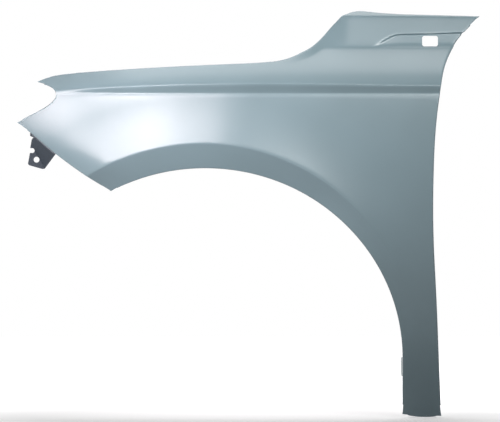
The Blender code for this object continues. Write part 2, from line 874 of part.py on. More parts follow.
def rear_tab_rows(root):
    x = min(p.x for p in root) - FOLD_RADIUS / 2
    rows = []
    for reach in (FOLD_RADIUS, REAR_TAB_DEPTH):
        rows.append([Vector((x, p.y + reach, p.z)) for p in root])
    level = max(p.y for p in rows[-1])
    for p in rows[-1]:
        p.y = level
    return rows


def new_object(name, mesh, home):
    data = bpy.data.meshes.new(name)
    mesh.to_mesh(data)
    mesh.free()
    for face in data.polygons:
        face.use_smooth = True
    thing = bpy.data.objects.new(name, data)
    home.objects.link(thing)
    return thing


def close_sheet(mesh):
    """Welds the patches and turns the sheet's face outwards, away from the car."""
    bmesh.ops.remove_doubles(mesh, verts=mesh.verts, dist=WELD)
    bmesh.ops.recalc_face_normals(mesh, faces=mesh.faces)
    if sum(face.normal.y * face.calc_area() for face in mesh.faces) > 0:
        bmesh.ops.reverse_faces(mesh, faces=mesh.faces)


def thicken(thing, thickness):
    solid = thing.modifiers.new("sheet", "SOLIDIFY")
    solid.thickness = thickness
    solid.offset = -1
    solid.use_even_offset = True
    solid.use_quality_normals = True


def cut(thing, cutter, operation="DIFFERENCE"):
    boolean = thing.modifiers.new(cutter.name, "BOOLEAN")
    boolean.operation = operation
    boolean.solver = "EXACT"
    boolean.object = cutter


def make_cutter(name, outline, axis, middle, reach, home):
    """A prism with the given outline, which is a list of points in the plane across its axis."""
    mesh = bmesh.new()
    made = bmesh.ops.create_circle(mesh, cap_ends=True, segments=len(outline), radius=reach)
    for vertex, spot in zip(made["verts"], outline):
        vertex.co = spot
    made = bmesh.ops.extrude_face_region(mesh, geom=mesh.faces[:])
    moved = [v for v in made["geom"] if isinstance(v, bmesh.types.BMVert)]
    bmesh.ops.translate(mesh, verts=moved, vec=axis * (2 * reach))
    bmesh.ops.translate(mesh, verts=mesh.verts, vec=middle - axis * reach)
    bmesh.ops.recalc_face_normals(mesh, faces=mesh.faces)
    thing = new_object(name, mesh, home)
    thing.display_type = "WIRE"
    thing.hide_render = True
    return thing


def round_outline(width, height, corner, across, up):
    """A rectangle with round corners, or a circle or slot where the corners meet."""
    points = []
    for quarter in range(4):
        for k in range(HOLE_SIDES // 4 + 1):
            turn = math.pi / 2 * (quarter + k / (HOLE_SIDES // 4))
            sx = 1 if quarter in (0, 3) else -1
            sz = 1 if quarter in (0, 1) else -1
            x = sx * (width / 2 - corner) + corner * math.cos(turn)
            z = sz * (height / 2 - corner) + corner * math.sin(turn)
            point = across * x + up * z
            if not points or (point - points[-1]).length > WELD:
                points.append(point)
    if (points[0] - points[-1]).length < WELD:
        points.pop()
    return points


def paint(thing, name, colour, metallic, roughness):
    material = bpy.data.materials.new(name)
    material.use_nodes = True
    shader = material.node_tree.nodes["Principled BSDF"]
    shader.inputs["Base Color"].default_value = (*colour, 1)
    shader.inputs["Metallic"].default_value = metallic
    shader.inputs["Roughness"].default_value = roughness
    material.diffuse_color = (*colour, 1)
    thing.data.materials.append(material)


def build_panel(parts, cutters):
    mesh = bmesh.new()
    upper = upper_rows()
    band = [band_row(share) for share in BAND_ROW_SHARES]
    main = main_rows(upper[0], band[-1])
    for rows in (upper, band, main):
        patch(mesh, [[on_skin(p) for p in row] for row in rows])

    left = [row[0] for row in main] + [row[0] for row in upper[1:]]
    flange(mesh, HEADLIGHT, left, 0, HEADLIGHT_FLANGE)
    front = main[0][: FRONT_COLUMNS + 1] + [row[0] for row in band[-2::-1]]
    flange(mesh, LOWER, front, 0, LOWER_FLANGE)
    lip = flange(mesh, ARCH, band[0], 0, ARCH_FLANGE)
    liner_tab(mesh, lip)
    rear = main[-1][len(upper[0]) - 1 :][::-1] + [row[-1] for row in upper[1:]]
    door = flange(mesh, REAR, rear, 0, REAR_FLANGE)
    foot = [row[-1] for row in band] + [row[-1] for row in main[1:]]
    sill_flange(mesh, foot)
    flange(mesh, UPPER, upper[-1], 0, TOP_FLANGE)
    flange(mesh, UPPER, upper[-1], 1, HUMP_FLANGE)
    hood_flange(mesh, upper[-1])
    flange(mesh, UPPER, upper[-1], 3, TIP_FLANGE)
    tabs = []
    for share in REAR_TAB_SHARES:
        root = rear_tab_root(door, share)
        rows = rear_tab_rows(root)
        tab(mesh, root, rows)
        tabs.append(sum((p for p in rows[0] + rows[1]), Vector()) / 4)
    close_sheet(mesh)
    panel = new_object("fender_panel", mesh, parts)
    thicken(panel, SHEET)

    x, z = MARKER_X_SHARE * LENGTH, MARKER_Z_SHARE * HEIGHT
    along = Vector((1, 0, 0))
    outline = round_outline(MARKER_WIDTH, MARKER_HEIGHT, MARKER_CORNER, along, UP)
    middle = Vector((x, depth_at(x, z), z))
    cutting = [make_cutter("marker_cut", outline, INBOARD, middle, CUT_OVERRUN * 2, cutters)]
    circle = round_outline(2 * BOLT_HOLE, 2 * BOLT_HOLE, BOLT_HOLE, along, INBOARD)
    for k, share in enumerate(SEAT_HOLE_SHARES):
        middle = seat_middle(share)
        cutting.append(make_cutter(f"seat_cut_{k}", circle, UP, middle, CUT_OVERRUN, cutters))
    circle = round_outline(2 * BOLT_HOLE, 2 * BOLT_HOLE, BOLT_HOLE, INBOARD, UP)
    for k, middle in enumerate(tabs):
        cutting.append(make_cutter(f"tab_cut_{k}", circle, along, middle, CUT_OVERRUN, cutters))
    x = SILL_RUN[0, 0] + (SILL_RUN[-1, 0] - SILL_RUN[0, 0]) * SILL_HOLE_SHARE
    level = depth_at(x, SILL_SEAT_HEIGHT)
    middle = Vector((x, level + FOLD_RADIUS + SILL_FLANGE / 2, SILL_SEAT_HEIGHT))
    slot = round_outline(
        2 * BOLT_HOLE + SILL_SLOT_LENGTH, 2 * BOLT_HOLE, BOLT_HOLE, along, INBOARD
    )
    cutting.append(make_cutter("sill_cut", slot, UP, middle, CUT_OVERRUN, cutters))
    for cutter in cutting:
        cut(panel, cutter)
    return panel, cutting


def bracket_spot(sx, sz):
    x = BRACKET_LEFT_SHARE * LENGTH + sx * BRACKET_WIDTH
    z = BRACKET_FOOT_SHARE * HEIGHT + sz * BRACKET_DROP
    return Vector((x, 0, z))


def build_bracket(parts, cutters):
    """A strip under the lower front flange, a slope behind it and a flat tab below."""
    start, end = BRACKET_START_SHARE * LOWER.total, BRACKET_END_SHARE * LOWER.total
    plane = None
    lines = []
    for k in range(FRONT_COLUMNS + 1):
        s = start + (end - start) * k / FRONT_COLUMNS
        p = at_length_of(LOWER, s)
        normal = flat2(LOWER.normal_at(s))
        toward, fold = LOWER.fold_at(s, p, FOLD_STEPS)
        near = fold[-1] + toward * WELD_STRIP_START
        near = near + normal * (SEAM_GAP + BRACKET_SHEET)
        far = near + toward * WELD_STRIP
        if plane is None:
            plane = far.y + BRACKET_STEP / 2
        slope = (toward + normal).normalized()
        first = bend(far, toward, slope, BRACKET_BEND, BEND_STEPS)
        run = (plane - first[-1].y) / slope.y - BRACKET_BEND * math.tan(math.pi / 8)
        corner = first[-1] + slope * run
        second = bend(corner, slope, normal, BRACKET_BEND, BEND_STEPS)
        second[-1].y = plane
        tail = second[-1] + normal * BRACKET_TAIL
        lines.append([near, far] + first + [corner] + second + [tail])
    mesh = bmesh.new()
    patch(mesh, [list(row) for row in zip(*lines)])
    close_sheet(mesh)
    bracket = new_object("bumper_bracket", mesh, parts)
    thicken(bracket, BRACKET_SHEET)
    along = Vector((1, 0, 0))
    level = INBOARD * plane
    outline = [bracket_spot(sx, sz) for sx, sz in BRACKET_SHARES]
    keep = make_cutter("bracket_keep", outline, INBOARD, level, PLAN_SWEEP, cutters)
    hole = round_outline(2 * BRACKET_HOLE, 2 * BRACKET_HOLE, BRACKET_HOLE, along, UP)
    spot = bracket_spot(BRACKET_HOLE_X_SHARE, BRACKET_HOLE_Z_SHARE)
    hole_cut = make_cutter("bracket_hole_cut", hole, INBOARD, spot + level, CUT_OVERRUN, cutters)
    length = BRACKET_WIDTH
    notch = round_outline(length, 2 * BRACKET_NOTCH, BRACKET_NOTCH, along, UP)
    spot = bracket_spot(BRACKET_NOTCH_X_SHARE, BRACKET_NOTCH_Z_SHARE)
    spot = spot + level - along * (length / 2 - BRACKET_NOTCH)
    notch_cut = make_cutter("bracket_notch_cut", notch, INBOARD, spot, CUT_OVERRUN, cutters)
    cut(bracket, keep, "INTERSECT")
    cut(bracket, hole_cut)
    cut(bracket, notch_cut)
    return bracket, [keep, hole_cut, notch_cut]


def main():
    remove_everything()
    parts = bpy.data.collections.new("car_fender")
    cutters = bpy.data.collections.new("cutters")
    for home in (parts, cutters):
        bpy.context.scene.collection.children.link(home)
    panel, panel_cuts = build_panel(parts, cutters)
    bracket, bracket_cuts = build_bracket(parts, cutters)
    # grey-blue primed steel, and steel with a black coat
    paint(panel, "primed_steel", (0.36, 0.44, 0.47), 0.2, 0.35)
    paint(bracket, "coated_steel", (0.05, 0.06, 0.07), 0.1, 0.5)
    seat = seat_middle(SEAT_HOLE_SHARES[1]) - UP * SHEET
    for thing in [panel, bracket] + panel_cuts + bracket_cuts:
        thing.matrix_world = Matrix.Translation(-seat)


main()
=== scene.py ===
"""A car's left front fender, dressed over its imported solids.

x runs rearwards, y inboard and z up, in metres. The panel and its bracket are laid again over the
lines of their solids, with finer rows, and stand for them. They are worked out with x from the
front tip, z from the foot and y from the shoulder crease, and moved at the end so that the origin
is the middle of the hood seat's underside.
"""

import math

import bpy
import numpy as np
from mathutils import Matrix, Vector


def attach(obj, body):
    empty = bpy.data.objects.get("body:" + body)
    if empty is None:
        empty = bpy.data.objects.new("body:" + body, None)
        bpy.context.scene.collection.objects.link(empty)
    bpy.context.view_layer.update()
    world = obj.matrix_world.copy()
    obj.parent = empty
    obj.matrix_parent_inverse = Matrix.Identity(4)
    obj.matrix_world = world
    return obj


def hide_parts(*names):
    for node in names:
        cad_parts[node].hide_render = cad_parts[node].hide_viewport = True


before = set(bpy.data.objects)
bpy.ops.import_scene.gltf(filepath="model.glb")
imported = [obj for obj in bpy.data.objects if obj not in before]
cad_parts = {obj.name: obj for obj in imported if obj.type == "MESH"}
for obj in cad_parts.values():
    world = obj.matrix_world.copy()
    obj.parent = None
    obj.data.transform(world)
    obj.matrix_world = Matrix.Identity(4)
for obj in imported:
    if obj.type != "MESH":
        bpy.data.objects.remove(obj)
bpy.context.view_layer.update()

# Overall sizes
LENGTH = 0.834
HEIGHT = 0.730
SHEET = 0.0008
BRACKET_SHEET = 0.0015

# The outline seen from the side, as shares of the length and the height
HEADLIGHT_SHARES = (
    (0.0442, 0.8252),
    (0.0535, 0.8203),
    (0.0684, 0.8149),
    (0.0800, 0.8068),
    (0.0848, 0.7960),
    (0.0828, 0.7858),
    (0.0723, 0.7720),
    (0.0453, 0.7523),
    (0.0222, 0.7392),
    (0.0, 0.7242),
)
LOWER_FRONT_SHARES = ((0.0, 0.7242), (0.0300, 0.6987), (0.0841, 0.6477), (0.1435, 0.5990))
SILL_SHARES = ((0.0, 0.0071), (0.3, 0.0018), (0.6, 0.0), (1.0, 0.0027))
REAR_SHARES = (
    (0.9172, 0.0027),
    (0.9152, 0.0419),
    (0.9115, 0.1405),
    (0.9072, 0.2637),
    (0.9040, 0.3377),
    (0.9002, 0.4240),
    (0.8986, 0.5220),
    (0.9018, 0.6704),
    (0.9072, 0.7468),
    (0.9126, 0.7937),
    (0.9180, 0.8356),
    (0.9245, 0.8652),
    (0.9331, 0.8898),
    (0.9400, 0.9046),
    (0.9525, 0.9293),
    (0.9676, 0.9490),
    (0.9849, 0.9687),
    (1.0, 0.9872),
)
TOP_SHARES = (
    (1.0, 0.9872),
    (0.8921, 0.9905),
    (0.8274, 0.9926),
    (0.7842, 0.9958),
    (0.7584, 0.9987),
    (0.7368, 1.0),
    (0.7195, 0.9958),
    (0.7023, 0.9889),
)
HOOD_SHARES = (
    (0.7023, 0.9889),
    (0.6785, 0.9593),
    (0.6548, 0.9293),
    (0.6332, 0.9096),
    (0.6117, 0.8972),
    (0.5901, 0.8868),
    (0.5685, 0.8800),
    (0.5361, 0.8752),
    (0.4606, 0.8708),
    (0.3528, 0.8652),
    (0.2449, 0.8578),
    (0.1586, 0.8504),
    (0.0939, 0.8430),
    (0.0636, 0.8344),
    (0.0442, 0.8252),
)

# The wheel arch: an ellipse, then a straight leg down to the sill
ARCH_LENGTH_RADIUS = 0.354
ARCH_HEIGHT_RADIUS = 0.4678 * HEIGHT
ARCH_CENTRE_HEIGHT = 0.1466 * HEIGHT
LEG_WIDTH = 0.0655
ARCH_FRONT_ANGLE = math.radians(118.8)
BAND_FRONT = 0.0455
BAND_REAR = 0.030
BAND_REAR_ANGLE = math.radians(20)
BAND_FRONT_ANGLE = math.radians(95)
BAND_LAST_ANGLE = math.pi * 0.85

# Feature lines that run along the panel
CREASE_SHARES = (
    (0.075, 0.8040),
    (0.115, 0.8076),
    (0.180, 0.8121),
    (0.267, 0.8171),
    (0.353, 0.8208),
    (0.440, 0.8225),
    (0.526, 0.8238),
    (0.612, 0.8230),
    (0.698, 0.8220),
    (0.785, 0.8200),
    (0.920, 0.8185),
)
FILLET_SHARE = 0.7937
BAND_SHARE = 0.7999
STRIP_SHARE = 0.8467
STRIP_RISE_SHARE = 0.42
LEDGE_SHARE = 0.9096
LEDGE_RISE_SHARE = 0.76
BROW_SHARES = ((0.640, 0.9880), (0.702, 0.9884), (0.860, 0.9876), (1.000, 0.9850))
BROW_DROP = 0.0014
GROOVE_SHARES = (
    (0.7740, 0.9140),
    (0.7900, 0.9256),
    (0.8075, 0.9355),
    (0.8170, 0.9400),
    (0.8290, 0.9420),
    (0.8900, 0.9438),
    (0.9700, 0.9466),
)
GROOVE_HALF_WIDTH = 0.0016
GROOVE_ROOM_SHARE = 0.15

# How deep the skin lies, and how its bends run
PLAN_SWEEP = 0.126
PLAN_POWER = 2.2
PLAN_CROWN_SHARE = 0.53
PLAN_TAIL = 0.008
UNDERCUT_SLOPE = 0.58
UNDERCUT_FADE_SHARES = (0.08, 0.20)
FILLET_SLOPE = 0.34
FILLET_HEIGHT = 0.005
BELLY = 0.006
BELLY_SHARE = 0.61
TUCK = 0.046
FLARE = 0.009
FLARE_REACH = 0.088
FLARE_LOW_ANGLE = math.radians(8)
FLARE_HIGH_ANGLE = math.radians(50)
CHAMFER = 0.023
CHAMFER_LOW_ANGLE = math.radians(30)
CHAMFER_HIGH_ANGLE = math.radians(66)
TURN_SHARES = ((0.072, 0.6620), (0.202, 0.6200))
TURN_SLOPE = 0.42
TURN_FADE_SHARES = (0.14, 0.30)
SHOULDER_SLOPE = 0.95
DECK_SLOPE = 1.45
BROW_SLOPE = 0.38
FACET_SLOPE = 1.7
HUMP_FADE_SHARES = (0.56, 0.72)
RECESS_DEPTH = 0.0034
RECESS_STEP = 0.0035
RECESS_START_SHARES = (0.762, 0.800)
RECESS_FADE_SHARES = (0.765, 0.835)
RECESS_FRONT_SHARE = 0.5
RECESS_REACH = 0.005
SHARP_SOFTNESS = 0.0012
CREASE_SOFTNESS = 0.0022
LEDGE_SOFTNESS = 0.0028
STRIP_SOFTNESS = 0.016
TURN_SOFTNESS = 0.022
ARCH_SOFTNESS = 0.0020
LINE_SOFTNESS = 0.004

# The return flanges
FOLD_RADIUS = 0.0026
TIP_FOLD_RADIUS = 0.0010
FOLD_FADE = 0.060
RELIEF = 0.008
HEADLIGHT_FLANGE = 0.010
LOWER_FLANGE = 0.015
ARCH_FLANGE = 0.013
SILL_FLANGE = 0.022
SILL_SEAT_HEIGHT = 0.0030
REAR_FLANGE = 0.016
TOP_FLANGE = 0.009
HUMP_FLANGE = 0.012
TIP_FLANGE = 0.006
FLANGE_LEAN = 0.10
WALL_LEAN = 0.08
TOP_LEAN = 0.45
HOOD_SEAT_SHARE = 0.792
HOOD_SEAT_WIDTH = 0.028
HOOD_TIP_SHARES = (0.062, 0.094)
HOOD_WALL_SHARES = (0.106, 0.572)
HUMP_FLANGE_SHARES = (0.596, 0.690)
TOP_FLANGE_SHARES = (0.716, 0.985)
END_TRIM = 0.65

# Tabs that grow out of the flanges
LINER_TAB_DEPTH = 0.024
LINER_TAB_LEAN = 0.16
LINER_TAB_BEND = 0.004
REAR_TAB_DEPTH = 0.024
REAR_TAB_SHARES = (0.500, 0.210)
TAB_CORNER = 0.006

# Openings
MARKER_X_SHARE = 0.8930
MARKER_Z_SHARE = 0.9260
MARKER_WIDTH = 0.0283
MARKER_HEIGHT = 0.0186
MARKER_CORNER = 0.0038
BOLT_HOLE = 0.0045
SEAT_HOLE_SHARES = (0.172, 0.345, 0.520)
SILL_SLOT_LENGTH = 0.006
SILL_HOLE_SHARE = 0.52
CUT_OVERRUN = 0.006

# The bumper bracket, its outline as shares of its own width and drop
BRACKET_START_SHARE = 0.145
BRACKET_END_SHARE = 0.455
BRACKET_WIDTH = 0.050
BRACKET_DROP = 0.0598
BRACKET_LEFT_SHARE = 0.0232
BRACKET_FOOT_SHARE = 0.6090
BRACKET_SHARES = (
    (0.080, 1.120),
    (0.080, 1.000),
    (0.209, 0.957),
    (0.140, 0.905),
    (0.083, 0.640),
    (0.070, 0.480),
    (0.000, 0.160),
    (0.036, 0.115),
    (0.518, 0.000),
    (0.607, 0.008),
    (1.000, 0.452),
    (1.180, 0.640),
    (0.400, 1.220),
)
BRACKET_HOLE_X_SHARE = 0.311
BRACKET_HOLE_Z_SHARE = 0.283
BRACKET_HOLE = 0.0052
BRACKET_NOTCH_X_SHARE = 0.155
BRACKET_NOTCH_Z_SHARE = 0.558
BRACKET_NOTCH = 0.0043
BRACKET_NOTCH_ROUND_SHARE = 0.98
BRACKET_CORNER = SHEET
BRACKET_BEND = 0.004
BRACKET_STEP = 0.022
WELD_STRIP_START = 0.002
WELD_STRIP = 0.010
BRACKET_TAIL = 0.050
WELD_SPOT_SHARES = (0.235, 0.330)
WELD_SPOT_RADIUS = 0.0024
WELD_SPOT_DEPTH = 0.0004
SEAM_GAP = 0.0003

# How finely the skin is laid out: the solid's own rows, and how many rows each of them becomes
TOP_KEY_SHARES = (0.0, 0.056, 0.560, 0.688, 0.775, 1.0)
TOP_KEY_COLUMNS = (4, 16, 8, 5, 9)
FRONT_COLUMNS = 7
REAR_COLUMNS = 12
LEG_COLUMNS = 6
CORNER_ANGLE = math.radians(48)
REAR_KEY_SHARE = 0.155
MAIN_ROWS = 8
BAND_ROW_SHARES = (0.0, 0.34, 0.68, 0.93, 1.0)
FINER_COLUMNS = 5
FINER_ROWS = 6
FINER_BAND_ROWS = 4
FOLD_STEPS = 8
REACH_STEPS = 3
BEND_STEPS = 6
TAB_STEPS = 10
CORNER_STEPS = 4
TOP_STEPS = 4
HALVINGS = 48
DENSE = 16
OVERHANG_STEPS = 2 * DENSE
EXTENSION_STEPS = 4 * DENSE
ARCH_STEPS = 12 * DENSE
HOLE_SIDES = 64
SHARP_ANGLE = math.radians(32)
WELD = 0.00001
PROBE = 0.002

UP = np.array((0.0, 0.0, 1.0))
INBOARD = np.array((0.0, 1.0, 0.0))
ALONG = np.array((1.0, 0.0, 0.0))


# Small sums


def unit(v):
    return v / np.linalg.norm(v)


def smoothstep(low, high, value):
    t = np.clip((value - low) / (high - low), 0.0, 1.0)
    return t * t * (3 - 2 * t)


def ramp(d, softness):
    """Zero below, d above, with a soft bend between."""
    return (d + np.hypot(d, softness)) / 2


def lower_of(a, b, softness):
    return (a + b - np.hypot(a - b, softness)) / 2


def scaled(shares):
    return [(sx * LENGTH, sz * HEIGHT) for sx, sz in shares]


def spline(points):
    """A dense, smooth run of points through the given ones."""
    p = [np.array(q, float) for q in points]
    p = [2 * p[0] - p[1]] + p + [2 * p[-1] - p[-2]]
    run = []
    for a, b, c, d in zip(p, p[1:], p[2:], p[3:]):
        ab, bc, cd = (math.sqrt(np.linalg.norm(v)) for v in (b - a, c - b, d - c))
        tb = ((b - a) / ab - (c - a) / (ab + bc)) * bc + (c - b)
        tc = (c - b) - ((d - b) / (bc + cd) - (d - c) / cd) * bc
        for k in range(DENSE):
            t = k / DENSE
            run.append(
                (2 * t**3 - 3 * t**2 + 1) * b
                + (t**3 - 2 * t**2 + t) * tb
                + (3 * t**2 - 2 * t**3) * c
                + (t**3 - t**2) * tc
            )
    run.append(p[-2])
    return np.array(run)


def lengths_along(run):
    return np.concatenate(([0.0], np.cumsum(np.linalg.norm(np.diff(run, axis=0), axis=1))))


def at_length(run, s):
    along = lengths_along(run)
    return np.array([np.interp(s, along, run[:, 0]), np.interp(s, along, run[:, 1])])


def height_on(run, x):
    order = 1 if run[-1, 0] > run[0, 0] else -1
    return np.interp(x, run[::order, 0], run[::order, 1])


def x_on(run, z):
    order = 1 if run[-1, 1] > run[0, 1] else -1
    return float(np.interp(z, run[::order, 1], run[::order, 0]))


REAR_RUN = spline(scaled(REAR_SHARES))
TOP_RUN = spline(scaled(TOP_SHARES))
HOOD_RUN = spline(scaled(HOOD_SHARES))
CREASE_RUN = spline(scaled(CREASE_SHARES))
BROW_RUN = spline(scaled(BROW_SHARES))
GROOVE_RUN = spline(scaled(GROOVE_SHARES))
UPPER_RUN = np.concatenate((TOP_RUN, HOOD_RUN[1:]))
HEADLIGHT_RUN = spline(scaled(HEADLIGHT_SHARES))
ARCH_X = x_on(REAR_RUN, ARCH_CENTRE_HEIGHT) - LEG_WIDTH - ARCH_LENGTH_RADIUS


def band_width(angle):
    return BAND_REAR + (BAND_FRONT - BAND_REAR) * smoothstep(
        BAND_REAR_ANGLE, BAND_FRONT_ANGLE, angle
    )


def arch_point(angle, out):
    return np.array(
        (
            ARCH_X + (ARCH_LENGTH_RADIUS + out) * math.cos(angle),
            ARCH_CENTRE_HEIGHT + (ARCH_HEIGHT_RADIUS + out) * math.sin(angle),
        )
    )


def past_arch(x, z):
    """How far a point lies outside the arch's edge, and its angle round the arch."""
    dx, dz = x - ARCH_X, z - ARCH_CENTRE_HEIGHT
    share = np.maximum(np.hypot(dx / ARCH_LENGTH_RADIUS, dz / ARCH_HEIGHT_RADIUS), WELD)
    out = np.where(dz > 0, np.hypot(dx, dz) * (1 - 1 / share), np.abs(dx) - ARCH_LENGTH_RADIUS)
    return out, np.where(dz > 0, np.arctan2(dz, dx), 0.0)


ARCH_CORNER = arch_point(ARCH_FRONT_ANGLE, 0.0)
LOWER_RUN = spline(scaled(LOWER_FRONT_SHARES) + [tuple(ARCH_CORNER)])


# Feature lines as heights over x


def crease_height(x):
    return height_on(CREASE_RUN, x)


def hood_height(x):
    return height_on(UPPER_RUN, x)


def brow_height(x):
    return lower_of(hood_height(x) - BROW_DROP, height_on(BROW_RUN, x), LINE_SOFTNESS / 4)


def strip_height(x):
    own = crease_height(x) + STRIP_RISE_SHARE * (hood_height(x) - crease_height(x))
    return lower_of(own, STRIP_SHARE * HEIGHT, LINE_SOFTNESS)


def ledge_height(x):
    own = crease_height(x) + LEDGE_RISE_SHARE * (hood_height(x) - crease_height(x))
    return lower_of(own, LEDGE_SHARE * HEIGHT, LINE_SOFTNESS)


def groove_height(x):
    own = (ledge_height(x) + brow_height(x)) / 2
    return lower_of(own, height_on(GROOVE_RUN, x), LINE_SOFTNESS)


# The skin's depth


def plan_depth(x):
    crown = PLAN_CROWN_SHARE * LENGTH
    front = PLAN_SWEEP * np.maximum(1 - x / crown, 0.0) ** PLAN_POWER
    return front + PLAN_TAIL * (np.maximum(x - crown, 0.0) / (LENGTH - crown)) ** 2


def recess_share(x, z):
    """One inside the marker's recess and zero outside it."""
    point = np.stack(np.broadcast_arrays(x, z), axis=-1)[..., None, :]
    step = np.diff(GROOVE_RUN, axis=0)
    size = np.linalg.norm(step, axis=1)
    gap = point - GROOVE_RUN[:-1]
    share = (gap * step).sum(axis=-1) / size**2
    share[..., 1:] = np.maximum(share[..., 1:], 0.0)
    share[..., :-1] = np.minimum(share[..., :-1], 1.0)
    gap = gap - share[..., None] * step
    near = np.argmin(np.linalg.norm(gap, axis=-1), axis=-1)[..., None]
    inside = (step[:, 1] * gap[..., 0] - step[:, 0] * gap[..., 1]) / size
    inside = np.take_along_axis(inside, near, axis=-1)[..., 0]
    full = smoothstep(*(s * LENGTH for s in RECESS_FADE_SHARES), x)
    step = RECESS_STEP * (1 - full / 2)
    start = smoothstep(*(s * LENGTH for s in RECESS_START_SHARES), x)
    share = start * (RECESS_FRONT_SHARE * (1 - full) + full)
    return share * smoothstep(-step, step, inside)


def upper_depth(x, z):
    hump = smoothstep(HUMP_FADE_SHARES[0] * LENGTH, HUMP_FADE_SHARES[1] * LENGTH, x)
    depth = SHOULDER_SLOPE * ramp(z - crease_height(x), CREASE_SOFTNESS)
    depth += (DECK_SLOPE - SHOULDER_SLOPE) * ramp(z - strip_height(x), STRIP_SOFTNESS)
    depth -= hump * (DECK_SLOPE - BROW_SLOPE) * ramp(z - ledge_height(x), LEDGE_SOFTNESS)
    depth += hump * (FACET_SLOPE - BROW_SLOPE) * ramp(z - brow_height(x), SHARP_SOFTNESS)
    reach = smoothstep(ledge_height(x), ledge_height(x) + RECESS_REACH, z) * hump
    if np.any(reach > 0):
        depth = depth + RECESS_DEPTH * reach * recess_share(x, z)
    return depth


def lower_depth(x, z):
    crease, band = crease_height(x), BAND_SHARE * HEIGHT
    fade = smoothstep(*(s * LENGTH for s in UNDERCUT_FADE_SHARES), x)
    depth = fade * UNDERCUT_SLOPE * (
        ramp(crease - z, CREASE_SOFTNESS) - ramp(np.minimum(band, crease) - z, CREASE_SOFTNESS)
    )
    depth -= fade * FILLET_SLOPE * (
        ramp(band - z, SHARP_SOFTNESS) - ramp(band - FILLET_HEIGHT - z, CREASE_SOFTNESS)
    )
    belly, top = BELLY_SHARE * HEIGHT, FILLET_SHARE * HEIGHT
    rise = np.clip((z - belly) / (top - belly), 0.0, 1.0)
    depth -= BELLY * (1 - rise**2)
    depth += TUCK * (np.maximum(belly - z, 0.0) / belly) ** 2
    out, angle = past_arch(x, z)
    width = band_width(angle)
    flare = smoothstep(FLARE_LOW_ANGLE, FLARE_HIGH_ANGLE, angle)
    depth -= FLARE * flare * (1 - np.clip((out - width) / FLARE_REACH, 0.0, 1.0)) ** 2
    chamfer = smoothstep(CHAMFER_LOW_ANGLE, CHAMFER_HIGH_ANGLE, angle)
    depth += CHAMFER * chamfer * ramp(width - out, ARCH_SOFTNESS) / width
    (x0, z0), (x1, z1) = scaled(TURN_SHARES)
    turn = z0 + (z1 - z0) * (x - x0) / (x1 - x0)
    fade = 1 - smoothstep(TURN_FADE_SHARES[0] * LENGTH, TURN_FADE_SHARES[1] * LENGTH, x)
    return depth + TURN_SLOPE * fade * ramp(turn - z, TURN_SOFTNESS)


def depth_at(x, z):
    return plan_depth(x) + upper_depth(x, z) + lower_depth(x, z)


def on_skin(p):
    return np.array((p[0], float(depth_at(p[0], p[1])), p[1]))


# Folds


def leaving(p, outward):
    """The direction in the skin that leaves its edge squarely."""
    dx = (depth_at(p[0] + PROBE, p[1]) - depth_at(p[0] - PROBE, p[1])) / (2 * PROBE)
    dz = (depth_at(p[0], p[1] + PROBE) - depth_at(p[0], p[1] - PROBE)) / (2 * PROBE)
    return unit(np.array((outward[0], dx * outward[0] + dz * outward[1], outward[1])))


def bend(start, heading, toward, radius, steps):
    """The points of a bend that leaves start in one direction and ends heading in another."""
    across = unit(toward - heading * heading.dot(toward))
    turn = math.acos(max(min(heading.dot(toward), 1.0), -1.0))
    return [
        start
        + heading * (radius * math.sin(turn * k / steps))
        + across * (radius * (1 - math.cos(turn * k / steps)))
        for k in range(1, steps + 1)
    ]


class Edge:
    """One side of the outline, drawn in by what its fold adds outside the skin's edge."""

    def __init__(self, run, ranges, toward):
        self.outline = run
        self.along = lengths_along(run)
        self.total = self.along[-1]
        self.toward = toward
        step = np.gradient(run, axis=0)
        step /= np.linalg.norm(step, axis=1)[:, None]
        self.normals = np.column_stack((step[:, 1], -step[:, 0]))
        self.ranges = [(max(a, RELIEF), min(b, self.total - RELIEF)) for a, b in ranges]
        known = [(0.0, 0.0), (self.total, 0.0)]
        for low, high in self.ranges:
            for s in np.linspace(low, high, OVERHANG_STEPS):
                known.append((s, self.overhang(s)))
        known.sort()
        self.overhangs = np.interp(self.along, [s for s, _ in known], [e for _, e in known])
        self.run = run - self.normals * self.overhangs[:, None]

    def normal_at(self, s):
        return unit(np.array([np.interp(s, self.along, self.normals[:, k]) for k in (0, 1)]))

    def radius_at(self, s):
        fade = smoothstep(0, FOLD_FADE, min(s, self.total - s) - RELIEF)
        return TIP_FOLD_RADIUS + (FOLD_RADIUS - TIP_FOLD_RADIUS) * fade

    def fold_at(self, s, p, steps):
        """The heading at the end of the fold, and the fold's points."""
        normal = self.normal_at(s)
        toward = self.toward(p, normal)
        start = on_skin(p)
        return toward, bend(start, leaving(p, normal), toward, self.radius_at(s), steps)

    def overhang(self, s):
        p = at_length(self.outline, s)
        normal = self.normal_at(s)
        start = on_skin(p)
        _, points = self.fold_at(s, p, DENSE)
        past = [(q[0] - start[0]) * normal[0] + (q[2] - start[2]) * normal[1] for q in points]
        return max(max(past), 0.0)

    def where(self, p):
        """How far along the edge a point of its drawn-in run lies."""
        steps = np.diff(self.run, axis=0)
        share = ((np.array(p) - self.run[:-1]) * steps).sum(axis=1)
        share = np.clip(share / (steps**2).sum(axis=1), 0, 1)
        gap = np.linalg.norm(self.run[:-1] + steps * share[:, None] - np.array(p), axis=1)
        k = int(np.argmin(gap))
        return float(self.along[k] + (self.along[k + 1] - self.along[k]) * share[k])

    def covered(self, side, number):
        """The stretch of a side that one flange covers: its points, and which of them are keys."""
        low, high = self.ranges[number]
        columns, keys = side
        inside = [k for k in keys if low - WELD <= self.where(columns[k]) <= high + WELD]
        first, last = min(inside), max(inside)
        return columns[first : last + 1], sorted(k - first for k in inside)


def flat3(normal):
    return np.array((normal[0], 0.0, normal[1]))


